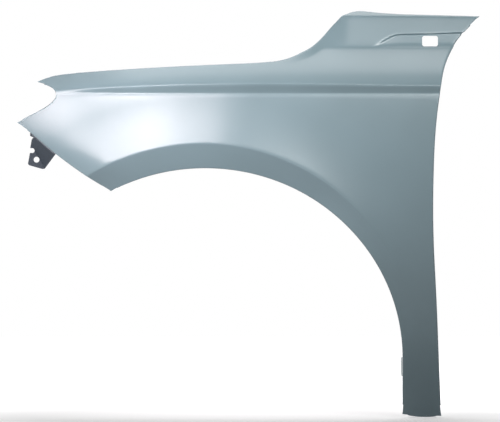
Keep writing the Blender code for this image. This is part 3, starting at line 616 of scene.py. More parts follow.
def inboard_leaning_in(p, normal):
    return unit(INBOARD - flat3(normal) * FLANGE_LEAN)


def straight_inboard(p, normal):
    return INBOARD.copy()


def over_the_top(p, normal):
    if p[0] < HOOD_WALL_SHARES[1] * LENGTH + RELIEF:
        return unit(INBOARD * WALL_LEAN - UP)
    if p[0] < HUMP_FLANGE_SHARES[1] * LENGTH + RELIEF:
        return inboard_leaning_in(p, normal)
    return unit(INBOARD * TOP_LEAN - UP)


def upper_range(shares):
    """A stretch of the upper edge between two shares of the length, as lengths along it."""
    along = lengths_along(UPPER_RUN)
    low, high = (np.interp(-s * LENGTH, -UPPER_RUN[:, 0], along) for s in shares[::-1])
    return float(low), float(high)


SILL_RUN = spline(
    [
        (
            ARCH_X
            + ARCH_LENGTH_RADIUS
            + share * (REAR_RUN[0, 0] - ARCH_X - ARCH_LENGTH_RADIUS),
            z * HEIGHT,
        )
        for share, z in SILL_SHARES
    ]
)
ARCH_RUN = np.array(
    [
        arch_point(ARCH_FRONT_ANGLE * (1 - k / ARCH_STEPS), 0.0)
        for k in range(ARCH_STEPS + 1)
    ]
    + [
        (
            SILL_RUN[0, 0],
            ARCH_CENTRE_HEIGHT + (SILL_RUN[0, 1] - ARCH_CENTRE_HEIGHT) * k / DENSE,
        )
        for k in range(1, DENSE + 1)
    ]
)
WHOLE = ((0.0, 2 * LENGTH),)
HEADLIGHT = Edge(HEADLIGHT_RUN, WHOLE, inboard_leaning_in)
LOWER = Edge(LOWER_RUN, WHOLE, straight_inboard)
ARCH = Edge(ARCH_RUN, WHOLE, inboard_leaning_in)
SILL = Edge(SILL_RUN, WHOLE, straight_inboard)
REAR = Edge(REAR_RUN, WHOLE, inboard_leaning_in)
UPPER = Edge(
    UPPER_RUN,
    [
        upper_range(s)
        for s in (TOP_FLANGE_SHARES, HUMP_FLANGE_SHARES, HOOD_WALL_SHARES, HOOD_TIP_SHARES)
    ],
    over_the_top,
)
LOWER_EXTENDED = np.concatenate(
    (LOWER.run, [LOWER.run[-1] + (LOWER.run[-1] - LOWER.run[-2]) * EXTENSION_STEPS])
)


# The skin's layout, as rows of points seen from the side


def column_shares():
    shares = [0.0]
    for low, high, count in zip(TOP_KEY_SHARES, TOP_KEY_SHARES[1:], TOP_KEY_COLUMNS):
        count *= FINER_COLUMNS
        shares += [low + (high - low) * k / count for k in range(1, count + 1)]
    return shares


def edge_crossing(height, run):
    """Where a line given by its height over x meets an edge."""
    above = height(run[:, 0]) - run[:, 1]
    k = int(np.nonzero((above[:-1] > 0) != (above[1:] > 0))[0][0])
    share = above[k] / (above[k] - above[k + 1])
    return run[k, 0] + (run[k + 1, 0] - run[k, 0]) * share


def row_over(height):
    left = edge_crossing(height, HEADLIGHT.run)
    right = edge_crossing(height, REAR.run)
    x = left + (right - left) * np.array(column_shares())
    return np.column_stack((x, height(x)))


def top_row():
    left, right = UPPER.run[-1, 0], UPPER.run[0, 0]
    x = left + (right - left) * np.array(column_shares())
    return np.column_stack((x, height_on(UPPER.run, x)))


def between(low, high, share):
    return lambda x: low(x) + (high(x) - low(x)) * share


def fillet_height(x):
    return FILLET_SHARE * HEIGHT + 0.0 * x


def band_height(x):
    return lower_of(BAND_SHARE * HEIGHT, crease_height(x) - CREASE_SOFTNESS, LINE_SOFTNESS / 4)


def low_crease(x):
    return crease_height(x) - CREASE_SOFTNESS / 2


def high_crease(x):
    return crease_height(x) + CREASE_SOFTNESS / 2


def groove_reach(x):
    room = (brow_height(x) - ledge_height(x)) * GROOVE_ROOM_SHARE
    return np.minimum(GROOVE_HALF_WIDTH, room)


def low_groove(x):
    return groove_height(x) - groove_reach(x)


def high_groove(x):
    return groove_height(x) + groove_reach(x)


def eased(count):
    """Shares from nought to one that crowd towards both ends."""
    return (1 - np.cos(np.pi * np.arange(count + 1) / count)) / 2


def upper_rows():
    """The rows above the fillet line, and which of them are the solid's own."""
    # Each stretch's two lines, the solid's rows across it, and how many rows each becomes
    lines = (
        (fillet_height, band_height, 1, 6),
        (band_height, low_crease, 1, 8),
        (low_crease, high_crease, 1, 4),
        (high_crease, strip_height, 2, 5),
        (strip_height, ledge_height, 2, 6),
        (ledge_height, low_groove, 2, 4),
        (low_groove, high_groove, 1, 6),
        (high_groove, brow_height, 2, 6),
    )
    rows, keys = [row_over(fillet_height)], [0]
    for low, high, count, finer in lines:
        start = len(rows) - 1
        rows += [row_over(between(low, high, t)) for t in eased(count * finer)[1:]]
        keys += [start + finer * k for k in range(1, count + 1)]
    crest, top = rows[-1], top_row()
    rows += [crest + (top - crest) * t for t in eased(TOP_STEPS)[1:]]
    return rows, keys + [len(rows) - 1]


def band_row(share):
    """One row of the arch band, from the lower front edge round the arch and down the leg."""

    def point(angle):
        s = ARCH.where(arch_point(angle, 0.0))
        drawn = np.interp(s, ARCH.along, ARCH.overhangs)
        return arch_point(angle, drawn + (band_width(angle) - drawn) * share)

    low, high = math.pi / 2, BAND_LAST_ANGLE
    for _ in range(HALVINGS):
        middle = (low + high) / 2
        p = point(middle)
        under = p[1] < height_on(LOWER_EXTENDED, p[0])
        low, high = (low, middle) if under else (middle, high)
    start = ARCH_FRONT_ANGLE if share == 0 else low
    first = len(column_shares()) - 1 - FRONT_COLUMNS * FINER_COLUMNS
    rear, leg = REAR_COLUMNS * FINER_COLUMNS, LEG_COLUMNS * FINER_COLUMNS
    angles = [start + (CORNER_ANGLE - start) * k / first for k in range(first)]
    angles += [CORNER_ANGLE * (1 - k / rear) for k in range(rear)]
    row = [point(a) for a in angles]
    if share == 0:
        heights = np.linspace(ARCH_CENTRE_HEIGHT, SILL.run[0, 1], leg + 1)[:-1]
        run = ARCH.run[-DENSE - 1 :]
        return np.array(row + [(x_on(run, z), z) for z in heights] + [SILL.run[0]])
    knee = point(0.0)
    foot_x = SILL_RUN[0, 0] + BAND_REAR * share
    foot = np.array((foot_x, height_on(SILL.run, foot_x)))
    return np.array(row + [knee + (foot - knee) * k / leg for k in range(leg + 1)])


def band_shares():
    shares = [0.0]
    for low, high in zip(BAND_ROW_SHARES, BAND_ROW_SHARES[1:]):
        steps = range(1, FINER_BAND_ROWS + 1)
        shares += [low + (high - low) * k / FINER_BAND_ROWS for k in steps]
    return shares


def at_length_of(edge, s):
    return np.array([np.interp(s, edge.along, edge.run[:, k]) for k in (0, 1)])


def spaced(edge, low, high, count):
    """Evenly spaced points of an edge between two lengths along it."""
    return np.array([at_length_of(edge, low + (high - low) * k / count) for k in range(count + 1)])


def main_rows(fillet, crest):
    """The rows between the fillet line and the crest of the arch band."""
    front, rear = FRONT_COLUMNS * FINER_COLUMNS, REAR_COLUMNS * FINER_COLUMNS
    leg, count = LEG_COLUMNS * FINER_COLUMNS, MAIN_ROWS * FINER_ROWS
    bottom = np.concatenate((spaced(LOWER, 0.0, LOWER.where(crest[0]), front)[:-1], crest))
    low, high = REAR.where(fillet[-1]), REAR_KEY_SHARE * REAR.total
    top = np.concatenate(
        (fillet, spaced(REAR, low, high, rear)[1:], spaced(REAR, high, 0.0, leg)[1:])
    )
    left = spaced(HEADLIGHT, HEADLIGHT.total, HEADLIGHT.where(fillet[0]), count)
    right = spaced(SILL, SILL.where(crest[-1]), SILL.total, count)
    last = len(top) - 1
    place = np.arange(last + 1)[:, None]
    near = np.maximum(1 - place / (2 * front), 0.0) ** 2
    far = np.maximum(1 - (last - place) / leg, 0.0) ** 2
    rows = []
    for j in range(count + 1):
        v = j / count
        row = bottom * (1 - v) + top * v
        row = row + near * (left[j] - row[0])
        rows.append(row + far * (right[j] - row[-1]))
    return rows


# Modelling


def start_afresh():
    if bpy.context.object and bpy.context.object.mode != "OBJECT":
        bpy.ops.object.mode_set(mode="OBJECT")
    bpy.ops.object.select_all(action="DESELECT")


def pick(things):
    start_afresh()
    for thing in things:
        thing.select_set(True)
    bpy.context.view_layer.objects.active = things[0]


def lay(rows):
    """A grid primitive laid over rows of points."""
    rows = np.array(rows)
    start_afresh()
    bpy.ops.mesh.primitive_grid_add(
        x_subdivisions=rows.shape[1] - 1, y_subdivisions=rows.shape[0] - 1, size=LENGTH
    )
    grid = bpy.context.object
    grid.data.vertices.foreach_set("co", rows.reshape(-1))
    grid.data.update()
    return grid


def skin_rows(rows):
    flat = np.concatenate(rows)
    deep = depth_at(flat[:, 0], flat[:, 1])
    return np.column_stack((flat[:, 0], deep, flat[:, 1])).reshape(len(rows), -1, 3)


def trims(keys, last):
    """How far a flange reaches at each column: its end corners are rounded off."""
    shares = []
    for k in range(last + 1):
        in_front = min(k / max(keys[1], 1), 1.0)
        behind = min((last - k) / max(last - keys[-2], 1), 1.0)
        near = 1 - min(in_front, behind)
        shares.append(END_TRIM + (1 - END_TRIM) * math.sqrt(1 - near**2))
    return shares


def stretched(start, end):
    """Points from start to end, without the first."""
    return [start + (end - start) * k / REACH_STEPS for k in range(1, REACH_STEPS + 1)]


def flange(edge, side, number, length):
    """A fold and a straight return along part of an edge."""
    columns, keys = edge.covered(side, number)
    lines = []
    for p, trim in zip(columns, trims(keys, len(columns) - 1)):
        toward, line = edge.fold_at(edge.where(p), p, FOLD_STEPS)
        line = [on_skin(p)] + line
        lines.append(line + stretched(line[-1], line[-1] + toward * length * trim))
    return lay(np.swapaxes(lines, 0, 1)), np.array(lines), keys


def tab(root, first, end, corner):
    """A tab that grows from a flange's end through a bend, with its outer corners rounded."""
    width = np.linalg.norm(end[-1] - end[0])
    depth = np.linalg.norm((end - first).mean(axis=0))
    rows = [root]
    for k in range(TAB_STEPS + 1):
        t = k / TAB_STEPS
        over = max(1 - (1 - t) * depth / corner, 0.0)
        inset = corner * (1 - math.sqrt(1 - over**2)) / (width / 2)
        row = first + (end - first) * t
        middle = (row[0] + row[-1]) / 2
        rows.append(row + (middle - row) * inset)
    return lay(rows)


def sill_flange(side):
    columns, keys = SILL.covered(side, 0)
    lines = []
    for p, trim in zip(columns, trims(keys, len(columns) - 1)):
        _, line = SILL.fold_at(SILL.where(p), p, FOLD_STEPS)
        x, y, _ = line[-1]
        near = np.array((x, y + FOLD_RADIUS, SILL_SEAT_HEIGHT))
        far = np.array((x, y + SILL_FLANGE * trim, SILL_SEAT_HEIGHT))
        lines.append([on_skin(p)] + line + [near] + stretched(near, far))
    return lay(np.swapaxes(lines, 0, 1))


def hood_line(p):
    """The hood side's section at a point of the edge: fold, wall, bend and seat."""
    toward, line = UPPER.fold_at(UPPER.where(p), p, FOLD_STEPS)
    seat = HOOD_SEAT_SHARE * HEIGHT
    across = INBOARD * toward.dot(INBOARD) + UP * toward.dot(UP)
    corner = math.tan(math.acos(across.dot(INBOARD)) / 2) * FOLD_RADIUS
    drop = (line[-1][2] - seat) / -toward[2] - corner
    foot = line[-1] + toward * drop
    turn = bend(foot, toward, INBOARD, FOLD_RADIUS, FOLD_STEPS)
    turn[-1][2] = seat
    return line, foot, turn, turn[-1] + INBOARD * HOOD_SEAT_WIDTH


def hood_flange(side):
    columns, keys = UPPER.covered(side, 2)
    lines = []
    for p, trim in zip(columns, trims(keys, len(columns) - 1)):
        line, foot, turn, end = hood_line(p)
        end = turn[-1] + (end - turn[-1]) * trim
        wall = [on_skin(p)] + line + stretched(line[-1], foot)
        lines.append(wall + turn + stretched(turn[-1], end))
    return lay(np.swapaxes(lines, 0, 1))


def seat_middle(x_share):
    """The middle of the hood seat's upper face at a share of the length."""
    x = x_share * LENGTH
    _, _, turn, end = hood_line(np.array((x, height_on(UPPER.run, x))))
    return (turn[-1] + end) / 2


SEAT = seat_middle(SEAT_HOLE_SHARES[1]) - UP * SHEET


def liner_tab(lines, keys):
    """The wheel arch liner's tab, on the lip's first columns below the knee."""
    below = [k for k in keys if lines[k, -1, 2] < ARCH_CENTRE_HEIGHT]
    root = lines[below[0] : below[2] + 1, -1]
    first = root + INBOARD * LINER_TAB_BEND
    end = first + unit(INBOARD - ALONG * LINER_TAB_LEAN) * LINER_TAB_DEPTH
    return tab(root, first, end, TAB_CORNER)


def rear_tab(lines, keys, z_share):
    """A tab on the rear flange, for the door pillar, and the middle of its bolt hole."""
    ends = lines[:, -1]
    pairs = list(zip(keys, keys[1:]))
    gaps = [abs((ends[a, 2] + ends[b, 2]) / 2 - z_share * HEIGHT) for a, b in pairs]
    a, b = pairs[gaps.index(min(gaps))]
    root = ends[a : b + 1]
    first = root + INBOARD * FOLD_RADIUS
    first[:, 0] = min(root[0, 0], root[-1, 0]) - FOLD_RADIUS / 2
    end = first.copy()
    end[:, 1] = max(root[0, 1], root[-1, 1]) + REAR_TAB_DEPTH
    middle = (first[0] + first[-1] + end[0] + end[-1]) / 4
    return tab(root, first, end, TAB_CORNER), middle


def weld(things, name):
    """Joins the grids into one sheet that faces outwards, away from the car."""
    pick(things)
    if len(things) > 1:
        bpy.ops.object.join()
    sheet = bpy.context.object
    sheet.name = name
    sheet.data.name = name
    bpy.ops.object.mode_set(mode="EDIT")
    bpy.ops.mesh.select_all(action="SELECT")
    bpy.ops.mesh.remove_doubles(threshold=WELD)
    bpy.ops.mesh.normals_make_consistent(inside=False)
    bpy.ops.object.mode_set(mode="OBJECT")
    if sum(face.normal.y * face.area for face in sheet.data.polygons) > 0:
        bpy.ops.object.mode_set(mode="EDIT")
        bpy.ops.mesh.flip_normals()
        bpy.ops.object.mode_set(mode="OBJECT")
    return sheet


def thicken(sheet, thickness):
    pick([sheet])
    bpy.ops.object.modifier_add(type="SOLIDIFY")
    solid = sheet.modifiers[-1]
    solid.thickness = thickness
    solid.offset = -1
    solid.use_even_offset = True
    solid.use_quality_normals = True
    bpy.ops.object.modifier_apply(modifier=solid.name)


def cut(thing, cutters, operation="DIFFERENCE"):
    """Cuts with all the cutters at once, which don't touch each other."""
    pick(cutters)
    bpy.ops.object.transform_apply(location=True, rotation=True, scale=True)
    if len(cutters) > 1:
        bpy.ops.object.join()
    cutter = bpy.context.object
    pick([thing])
    bpy.ops.object.modifier_add(type="BOOLEAN")
    boolean = thing.modifiers[-1]
    boolean.operation = operation
    boolean.solver = "EXACT"
    boolean.object = cutter
    bpy.ops.object.modifier_apply(modifier=boolean.name)
    bpy.data.objects.remove(cutter, do_unlink=True)


def drill(middle, axis, radius, reach, stretch=0.0):
    """A round cutter, or a slot's when it is stretched along x."""
    start_afresh()
    turn = Vector((0, 0, 1)).rotation_difference(Vector(axis)).to_euler()
    bpy.ops.mesh.primitive_cylinder_add(
        vertices=HOLE_SIDES, radius=radius, depth=2 * reach, location=middle, rotation=turn
    )
    cutter = bpy.context.object
    if stretch:
        for vertex in cutter.data.vertices:
            vertex.co.x += math.copysign(stretch / 2, vertex.co.x)
    return cutter


def round_box(middle, size, corner):
    """A box cutter whose four long edges, which run along y, are rounded."""
    start_afresh()
    bpy.ops.mesh.primitive_cube_add(size=1, location=middle, scale=size)
    cutter = bpy.context.object
    bpy.ops.object.transform_apply(location=True, rotation=False, scale=True)
    bpy.ops.object.mode_set(mode="EDIT")
    bpy.ops.mesh.select_mode(type="EDGE")
    bpy.ops.mesh.select_all(action="DESELECT")
    bpy.ops.object.mode_set(mode="OBJECT")
    for edge in cutter.data.edges:
        a, b = (cutter.data.vertices[k].co for k in edge.vertices)
        edge.select = abs(a.x - b.x) + abs(a.z - b.z) < WELD
    bpy.ops.object.mode_set(mode="EDIT")
    bpy.ops.mesh.bevel(offset=corner, segments=HOLE_SIDES // 4, affect="EDGES")
    bpy.ops.object.mode_set(mode="OBJECT")
    return cutter


def smooth(thing):
    """Smooth shading, apart from sharp folds and cut edges."""
    pick([thing])
    bpy.ops.object.shade_smooth_by_angle(angle=SHARP_ANGLE)


def settle(thing, name, node):
    """Moves a finished piece into the frame, names it, and hides the solid that it stands for."""
    thing.data.transform(Matrix.Translation(Vector(-SEAT)))
    thing.name = name
    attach(thing, "root")
    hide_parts(node)


def build_panel():
    upper, upper_keys = upper_rows()
    band = [band_row(share) for share in band_shares()]
    main = main_rows(upper[0], band[-1])
    grids = [lay(skin_rows(rows)) for rows in (upper, band, main)]
    width, front = len(upper[0]), FRONT_COLUMNS * FINER_COLUMNS
    main_keys = list(range(0, len(main), FINER_ROWS))
    band_keys = list(range(0, len(band), FINER_BAND_ROWS))
    side_keys = main_keys + [len(main) - 1 + k for k in upper_keys[1:]]

    left = [row[0] for row in main] + [row[0] for row in upper[1:]]
    grids.append(flange(HEADLIGHT, (left, side_keys), 0, HEADLIGHT_FLANGE)[0])
    lower = list(main[0][: front + 1]) + [row[0] for row in band[-2::-1]]
    keys = list(range(0, front + 1, FINER_COLUMNS))
    keys += [front + k for k in band_keys[1:]]
    grids.append(flange(LOWER, (lower, keys), 0, LOWER_FLANGE)[0])
    keys = list(range(0, len(band[0]), FINER_COLUMNS))
    grid, lines, keys = flange(ARCH, (band[0], keys), 0, ARCH_FLANGE)
    grids += [grid, liner_tab(lines, keys)]

    behind = main[-1][width - 1 :][::-1]
    rear = list(behind) + [row[-1] for row in upper[1:]]
    keys = list(range(0, len(behind), FINER_COLUMNS))
    keys += [len(behind) - 1 + k for k in upper_keys[1:]]
    grid, lines, keys = flange(REAR, (rear, keys), 0, REAR_FLANGE)
    grids.append(grid)
    tab_holes = []
    for share in REAR_TAB_SHARES:
        grid, middle = rear_tab(lines, keys, share)
        grids.append(grid)
        tab_holes.append(middle)
    foot = [row[-1] for row in band] + [row[-1] for row in main[1:]]
    keys = band_keys + [len(band) - 1 + k for k in main_keys[1:]]
    grids.append(sill_flange((foot, keys)))
    top = (upper[-1], list(range(0, width, FINER_COLUMNS)))
    for number, length in ((0, TOP_FLANGE), (1, HUMP_FLANGE), (3, TIP_FLANGE)):
        grids.append(flange(UPPER, top, number, length)[0])
    grids.append(hood_flange(top))

    panel = weld(grids, "pressed_panel")
    thicken(panel, SHEET)
    x, z = MARKER_X_SHARE * LENGTH, MARKER_Z_SHARE * HEIGHT
    size = (MARKER_WIDTH, 4 * CUT_OVERRUN, MARKER_HEIGHT)
    cutters = [round_box(on_skin((x, z)), size, MARKER_CORNER)]
    for share in SEAT_HOLE_SHARES:
        cutters.append(drill(seat_middle(share), UP, BOLT_HOLE, CUT_OVERRUN))
    for middle in tab_holes:
        cutters.append(drill(middle, ALONG, BOLT_HOLE, CUT_OVERRUN))
    x = SILL_RUN[0, 0] + (SILL_RUN[-1, 0] - SILL_RUN[0, 0]) * SILL_HOLE_SHARE
    y = float(depth_at(x, SILL_SEAT_HEIGHT)) + FOLD_RADIUS + SILL_FLANGE / 2
    middle = (x, y, SILL_SEAT_HEIGHT)
    cutters.append(drill(middle, UP, BOLT_HOLE, CUT_OVERRUN, SILL_SLOT_LENGTH))
    cut(panel, cutters)
    smooth(panel)
    settle(panel, "pressed_panel", "fender_panel")
    return panel


def bracket_spot(sx, sz, y):
    x = BRACKET_LEFT_SHARE * LENGTH + sx * BRACKET_WIDTH
    z = BRACKET_FOOT_SHARE * HEIGHT + sz * BRACKET_DROP
    return np.array((x, y, z))


def weld_spot(share):
    """A cutter for the shallow dimple that a spot weld leaves in the strip's outer face."""
    s = share * LOWER.total
    normal = flat3(LOWER.normal_at(s))
    toward, fold = LOWER.fold_at(s, at_length_of(LOWER, s), FOLD_STEPS)
    face = fold[-1] + toward * (WELD_STRIP_START + WELD_STRIP / 2)
    face = face + normal * (SEAM_GAP + BRACKET_SHEET)
    middle = face + normal * (CUT_OVERRUN - WELD_SPOT_DEPTH)
    return drill(middle, normal, WELD_SPOT_RADIUS, CUT_OVERRUN)


def build_bracket():
    """A strip under the lower front flange, a slope behind it and a flat tab below."""
    start, end = BRACKET_START_SHARE * LOWER.total, BRACKET_END_SHARE * LOWER.total
    plane = None
    lines = []
    columns = FRONT_COLUMNS * FINER_COLUMNS
    for k in range(columns + 1):
        s = start + (end - start) * k / columns
        p = at_length_of(LOWER, s)
        normal = flat3(LOWER.normal_at(s))
        toward, fold = LOWER.fold_at(s, p, FOLD_STEPS)
        near = fold[-1] + toward * WELD_STRIP_START + normal * (SEAM_GAP + BRACKET_SHEET)
        far = near + toward * WELD_STRIP
        if plane is None:
            plane = far[1] + BRACKET_STEP / 2
        slope = unit(toward + normal)
        first = bend(far, toward, slope, BRACKET_BEND, BEND_STEPS)
        run = (plane - first[-1][1]) / slope[1] - BRACKET_BEND * math.tan(math.pi / 8)
        corner = first[-1] + slope * run
        second = bend(corner, slope, normal, BRACKET_BEND, BEND_STEPS)
        second[-1][1] = plane
        tail = second[-1] + normal * BRACKET_TAIL
        lines.append([near, far] + first + [corner] + second + [tail])
    bracket = weld([lay(np.swapaxes(lines, 0, 1))], "bumper_bracket_plate")
    thicken(bracket, BRACKET_SHEET)

    start_afresh()
    bpy.ops.mesh.primitive_circle_add(
        vertices=len(BRACKET_SHARES), radius=BRACKET_WIDTH, fill_type="NGON"
    )
    keep = bpy.context.object
    for vertex, (sx, sz) in zip(keep.data.vertices, BRACKET_SHARES):
        vertex.co = bracket_spot(sx, sz, plane - PLAN_SWEEP)
    bpy.ops.object.mode_set(mode="EDIT")
    bpy.ops.mesh.select_all(action="SELECT")
    bpy.ops.mesh.bevel(offset=BRACKET_CORNER, segments=CORNER_STEPS, affect="VERTICES")
    bpy.ops.mesh.select_all(action="SELECT")
    bpy.ops.mesh.extrude_region_move(
        TRANSFORM_OT_translate={"value": (0, 2 * PLAN_SWEEP, 0)}
    )
    bpy.ops.mesh.select_all(action="SELECT")
    bpy.ops.mesh.normals_make_consistent(inside=False)
    bpy.ops.object.mode_set(mode="OBJECT")
    cut(bracket, [keep], "INTERSECT")
    spot = bracket_spot(BRACKET_HOLE_X_SHARE, BRACKET_HOLE_Z_SHARE, plane)
    hole = drill(spot, INBOARD, BRACKET_HOLE, CUT_OVERRUN)
    spot = bracket_spot(BRACKET_NOTCH_X_SHARE, BRACKET_NOTCH_Z_SHARE, plane)
    length = BRACKET_WIDTH / 2
    spot = spot - ALONG * (length / 2 - BRACKET_NOTCH)
    size = (length, 2 * CUT_OVERRUN, 2 * BRACKET_NOTCH)
    notch = round_box(spot, size, BRACKET_NOTCH * BRACKET_NOTCH_ROUND_SHARE)
    cut(bracket, [hole, notch] + [weld_spot(share) for share in WELD_SPOT_SHARES])
    smooth(bracket)
    settle(bracket, "bumper_bracket_plate", "bumper_bracket")
    return bracket


# Materials

# Colours as they are seen, and the real sizes of the patterns in them
PRIMER_LIGHT = "#71868D"
PRIMER_DARK = "#697D83"
PRIMER_DRIFT = 0.110
PRIMER_DETAIL = 2.0
PRIMER_ROUGHNESS = 0.28
PEEL_CELL = 0.003
PEEL_HEIGHT = 0.00001
WAVE_DETAIL = 1.0
# The bracket's two tones are darkened as painted shade for the panel's shadow on it; they mottle
# at random between them.
PAINTED_SHADE_COAT_LIGHT = "#323C46"
PAINTED_SHADE_COAT_DARK = "#232B33"
COAT_MOTTLE = 0.0045
COAT_DETAIL = 4.0
COAT_ROUGHNESS = 0.46
COAT_METALLIC = 0.3
COAT_GRAIN = 0.0008
COAT_GRAIN_HEIGHT = 0.00002


def linear(colour):
    """A hex colour as it is seen, turned to the linear values that a shader wants."""
    values = [int(colour[k : k + 2], 16) / 255 for k in (1, 3, 5)]
    turned = [v / 12.92 if v <= 0.04045 else ((v + 0.055) / 1.055) ** 2.4 for v in values]
    return (*turned, 1.0)


def add_node(tree, kind, settings=None, links=None):
    """A node with its settings, and its inputs set or linked."""
    node = tree.nodes.new(kind)
    for key, value in (settings or {}).items():
        setattr(node, key, value)
    for key, value in (links or {}).items():
        if isinstance(value, bpy.types.NodeSocket):
            tree.links.new(value, node.inputs[key])
        else:
            node.inputs[key].default_value = value
    return node


def finish(name, light, dark, cell, detail, roughness, metallic):
    """A plain coat whose tone moves between two colours in patches of a real size."""
    material = bpy.data.materials.new(name)
    material.use_nodes = True
    tree = material.node_tree
    shader = tree.nodes["Principled BSDF"]
    place = add_node(tree, "ShaderNodeTexCoord").outputs["Object"]
    patches = add_node(
        tree, "ShaderNodeTexNoise", None, {"Vector": place, "Scale": 1 / cell, "Detail": detail}
    )
    colour = add_node(
        tree,
        "ShaderNodeMix",
        {"data_type": "RGBA"},
        {"Factor": patches.outputs["Fac"], "A": linear(light), "B": linear(dark)},
    )
    tree.links.new(colour.outputs["Result"], shader.inputs["Base Color"])
    shader.inputs["Roughness"].default_value = roughness
    shader.inputs["Metallic"].default_value = metallic
    return material, place


def waviness(material, place, cell, height):
    """Shallow waves of a real size and height in a coat's surface."""
    tree = material.node_tree
    waves = add_node(
        tree,
        "ShaderNodeTexNoise",
        None,
        {"Vector": place, "Scale": 1 / cell, "Detail": WAVE_DETAIL},
    )
    bump = add_node(
        tree, "ShaderNodeBump", None, {"Distance": height, "Height": waves.outputs["Fac"]}
    )
    tree.links.new(bump.outputs["Normal"], tree.nodes["Principled BSDF"].inputs["Normal"])


def dipped_primer():
    """Cathodic dip primer: a grey-blue film a few hundredths of a millimetre thick, baked on
    the whole pressing, inside and out. It gives a satin sheen with a faint orange peel, and
    its tone drifts a little over a hand's breadth, as the film's thickness does."""
    material, place = finish(
        "dipped_primer",
        PRIMER_LIGHT,
        PRIMER_DARK,
        PRIMER_DRIFT,
        PRIMER_DETAIL,
        PRIMER_ROUGHNESS,
        0.0,
    )
    waviness(material, place, PEEL_CELL, PEEL_HEIGHT)
    return material


def painted_shade_coating():
    """The bracket's coat. Its colour is much darker than the panel's primer, as painted shade for
    the shadow that the panel throws on it. Matter than the panel, slightly metallic, with a
    mottled grain of a few millimetres."""
    material, place = finish(
        "bracket_painted_shade_coat",
        PAINTED_SHADE_COAT_LIGHT,
        PAINTED_SHADE_COAT_DARK,
        COAT_MOTTLE,
        COAT_DETAIL,
        COAT_ROUGHNESS,
        COAT_METALLIC,
    )
    waviness(material, place, COAT_GRAIN, COAT_GRAIN_HEIGHT)
    return material


# The studio

VIEW_CENTRE = (0.1327, -0.02, -0.2066)
FRAME_WIDTH = 0.900
CAMERA_DISTANCE = 24.0
CAMERA_RISE = math.radians(1.5)
SENSOR = 36.0
FLOOR_SIZE = 8.0
FLOOR_GAP = 0.0003
FLOOR_NEAR = 0.35
FLOOR_FAR = 0.85
FLOOR_GLOW = 0.43
FLOOR_COLOUR = "#F2F2F2"
FLOOR_ROUGHNESS = 0.9
WORLD_LIGHT = 0.05

# The lamps: name, place, what it aims at, width, height, watts, how wide it spreads, colour. The
# three at the front left are very slightly warm, as the photo's highlight is.
WHITE = "#FFFFFF"
WARM = "#FFF4F7"
FRONT_SPREAD = 42
REAR_SPREAD = 45
FULL_SPREAD = 180
FRONT_AIM = (-0.065, -0.02, -0.061)
REAR_AIM = (0.38, -0.02, 0.15)
LAMPS = (
    ("key", (-0.3, -1.21, 0.4), FRONT_AIM, 0.5, 0.3, 0.44, FRONT_SPREAD, WARM),
    ("key_side", (-0.71, -1.09, 0.32), FRONT_AIM, 0.62, 0.3, 0.96, FRONT_SPREAD, WARM),
    ("nose_side", (-1.11, -0.78, 0.12), FRONT_AIM, 0.7, 0.3, 0.93, FRONT_SPREAD, WARM),
    ("overhead", (0.1, 0.5, 1.2), (0.1, 0.0, -0.1), 1.2, 0.6, 7.0, FULL_SPREAD, WHITE),
    ("rear_top", (0.75, -0.95, 0.63), REAR_AIM, 1.0, 0.8, 2.35, REAR_SPREAD, WHITE),
    ("behind", (0.3, 2.2, 0.8), (0.1, 0.0, -0.2), 1.6, 1.2, 14, FULL_SPREAD, WHITE),
)


def build_camera():
    """Square to the outer side and far away, as in the photo, and just above level."""
    data = bpy.data.cameras.new("photo_camera")
    data.sensor_width = SENSOR
    data.lens = SENSOR * CAMERA_DISTANCE / FRAME_WIDTH
    data.clip_end = 2 * CAMERA_DISTANCE
    camera = bpy.data.objects.new("photo_camera", data)
    bpy.context.scene.collection.objects.link(camera)
    back = Vector((0, -math.cos(CAMERA_RISE), math.sin(CAMERA_RISE)))
    camera.location = Vector(VIEW_CENTRE) + back * CAMERA_DISTANCE
    camera.rotation_euler = (math.pi / 2 - CAMERA_RISE, 0, 0)
    bpy.context.scene.camera = camera


def softbox(name, spot, aim, width, height, watts, spread, tone):
    """A soft rectangular lamp that the camera doesn't see."""
    data = bpy.data.lights.new(name, "AREA")
    data.color = linear(tone)[:3]
    data.shape = "RECTANGLE"
    data.size = width
    data.size_y = height
    data.energy = watts
    data.spread = math.radians(spread)
    lamp = bpy.data.objects.new(name, data)
    bpy.context.scene.collection.objects.link(lamp)
    lamp.location = spot
    way = Vector(aim) - Vector(spot)
    lamp.rotation_euler = way.to_track_quat("-Z", "Y").to_euler()
    lamp.visible_camera = False


def seen_or_mirrored(tree):
    """One for rays from the camera, off gloss or through glass, and zero for others."""
    path = add_node(tree, "ShaderNodeLightPath")
    top = {"operation": "MAXIMUM"}
    links = {0: path.outputs["Is Camera Ray"], 1: path.outputs["Is Glossy Ray"]}
    first = add_node(tree, "ShaderNodeMath", top, links)
    links = {0: first.outputs[0], 1: path.outputs["Is Transmission Ray"]}
    return add_node(tree, "ShaderNodeMath", top, links).outputs[0]


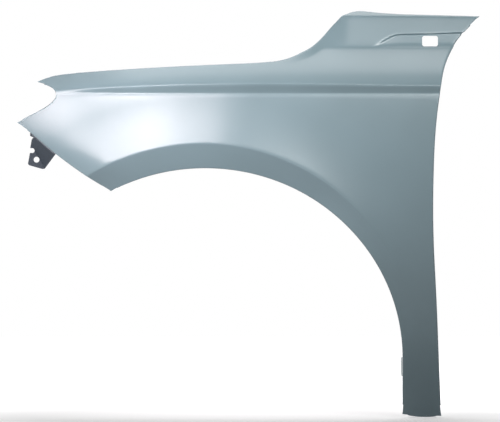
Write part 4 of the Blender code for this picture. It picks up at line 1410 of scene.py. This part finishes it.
def build_floor():
    """Pale under the fender, where its shadow falls, and white from an arm's length on."""
    start_afresh()
    level = -SEAT[2] - FLOOR_GAP
    bpy.ops.mesh.primitive_plane_add(size=FLOOR_SIZE, location=(VIEW_CENTRE[0], 0.0, level))
    floor = bpy.context.object
    floor.name = "floor"
    material = bpy.data.materials.new("white_floor")
    material.use_nodes = True
    tree = material.node_tree
    shader = tree.nodes["Principled BSDF"]
    shader.inputs["Base Color"].default_value = linear(FLOOR_COLOUR)
    shader.inputs["Roughness"].default_value = FLOOR_ROUGHNESS
    shader.inputs["Specular IOR Level"].default_value = 0.0
    place = add_node(tree, "ShaderNodeTexCoord").outputs["Object"]
    away = add_node(
        tree, "ShaderNodeVectorMath", {"operation": "LENGTH"}, {0: place}
    ).outputs["Value"]
    glow = add_node(
        tree,
        "ShaderNodeMapRange",
        {"interpolation_type": "SMOOTHSTEP"},
        {
            "Value": away,
            "From Min": FLOOR_NEAR,
            "From Max": FLOOR_FAR,
            "To Min": FLOOR_GLOW,
            "To Max": 1.0,
        },
    ).outputs["Result"]
    strength = add_node(
        tree,
        "ShaderNodeMath",
        {"operation": "MULTIPLY"},
        {0: glow, 1: seen_or_mirrored(tree)},
    )
    tree.links.new(strength.outputs[0], shader.inputs["Emission Strength"])
    shader.inputs["Emission Color"].default_value = (1, 1, 1, 1)
    floor.data.materials.append(material)


def build_world():
    """White to the camera and to gloss, and a dim even light on everything."""
    world = bpy.data.worlds.new("studio")
    bpy.context.scene.world = world
    world.use_nodes = True
    tree = world.node_tree
    tree.nodes.clear()
    strength = add_node(
        tree,
        "ShaderNodeMapRange",
        None,
        {"Value": seen_or_mirrored(tree), "To Min": WORLD_LIGHT, "To Max": 1.0},
    )
    shine = add_node(
        tree,
        "ShaderNodeBackground",
        None,
        {"Color": (1, 1, 1, 1), "Strength": strength.outputs["Result"]},
    )
    add_node(tree, "ShaderNodeOutputWorld", None, {"Surface": shine.outputs[0]})


def build_studio():
    build_camera()
    build_floor()
    build_world()
    for lamp in LAMPS:
        softbox(*lamp)
    bpy.context.scene.view_settings.view_transform = "Standard"


panel = build_panel()
bracket = build_bracket()
for thing, material in ((panel, dipped_primer()), (bracket, painted_shade_coating())):
    thing.data.materials.clear()
    thing.data.materials.append(material)
build_studio()
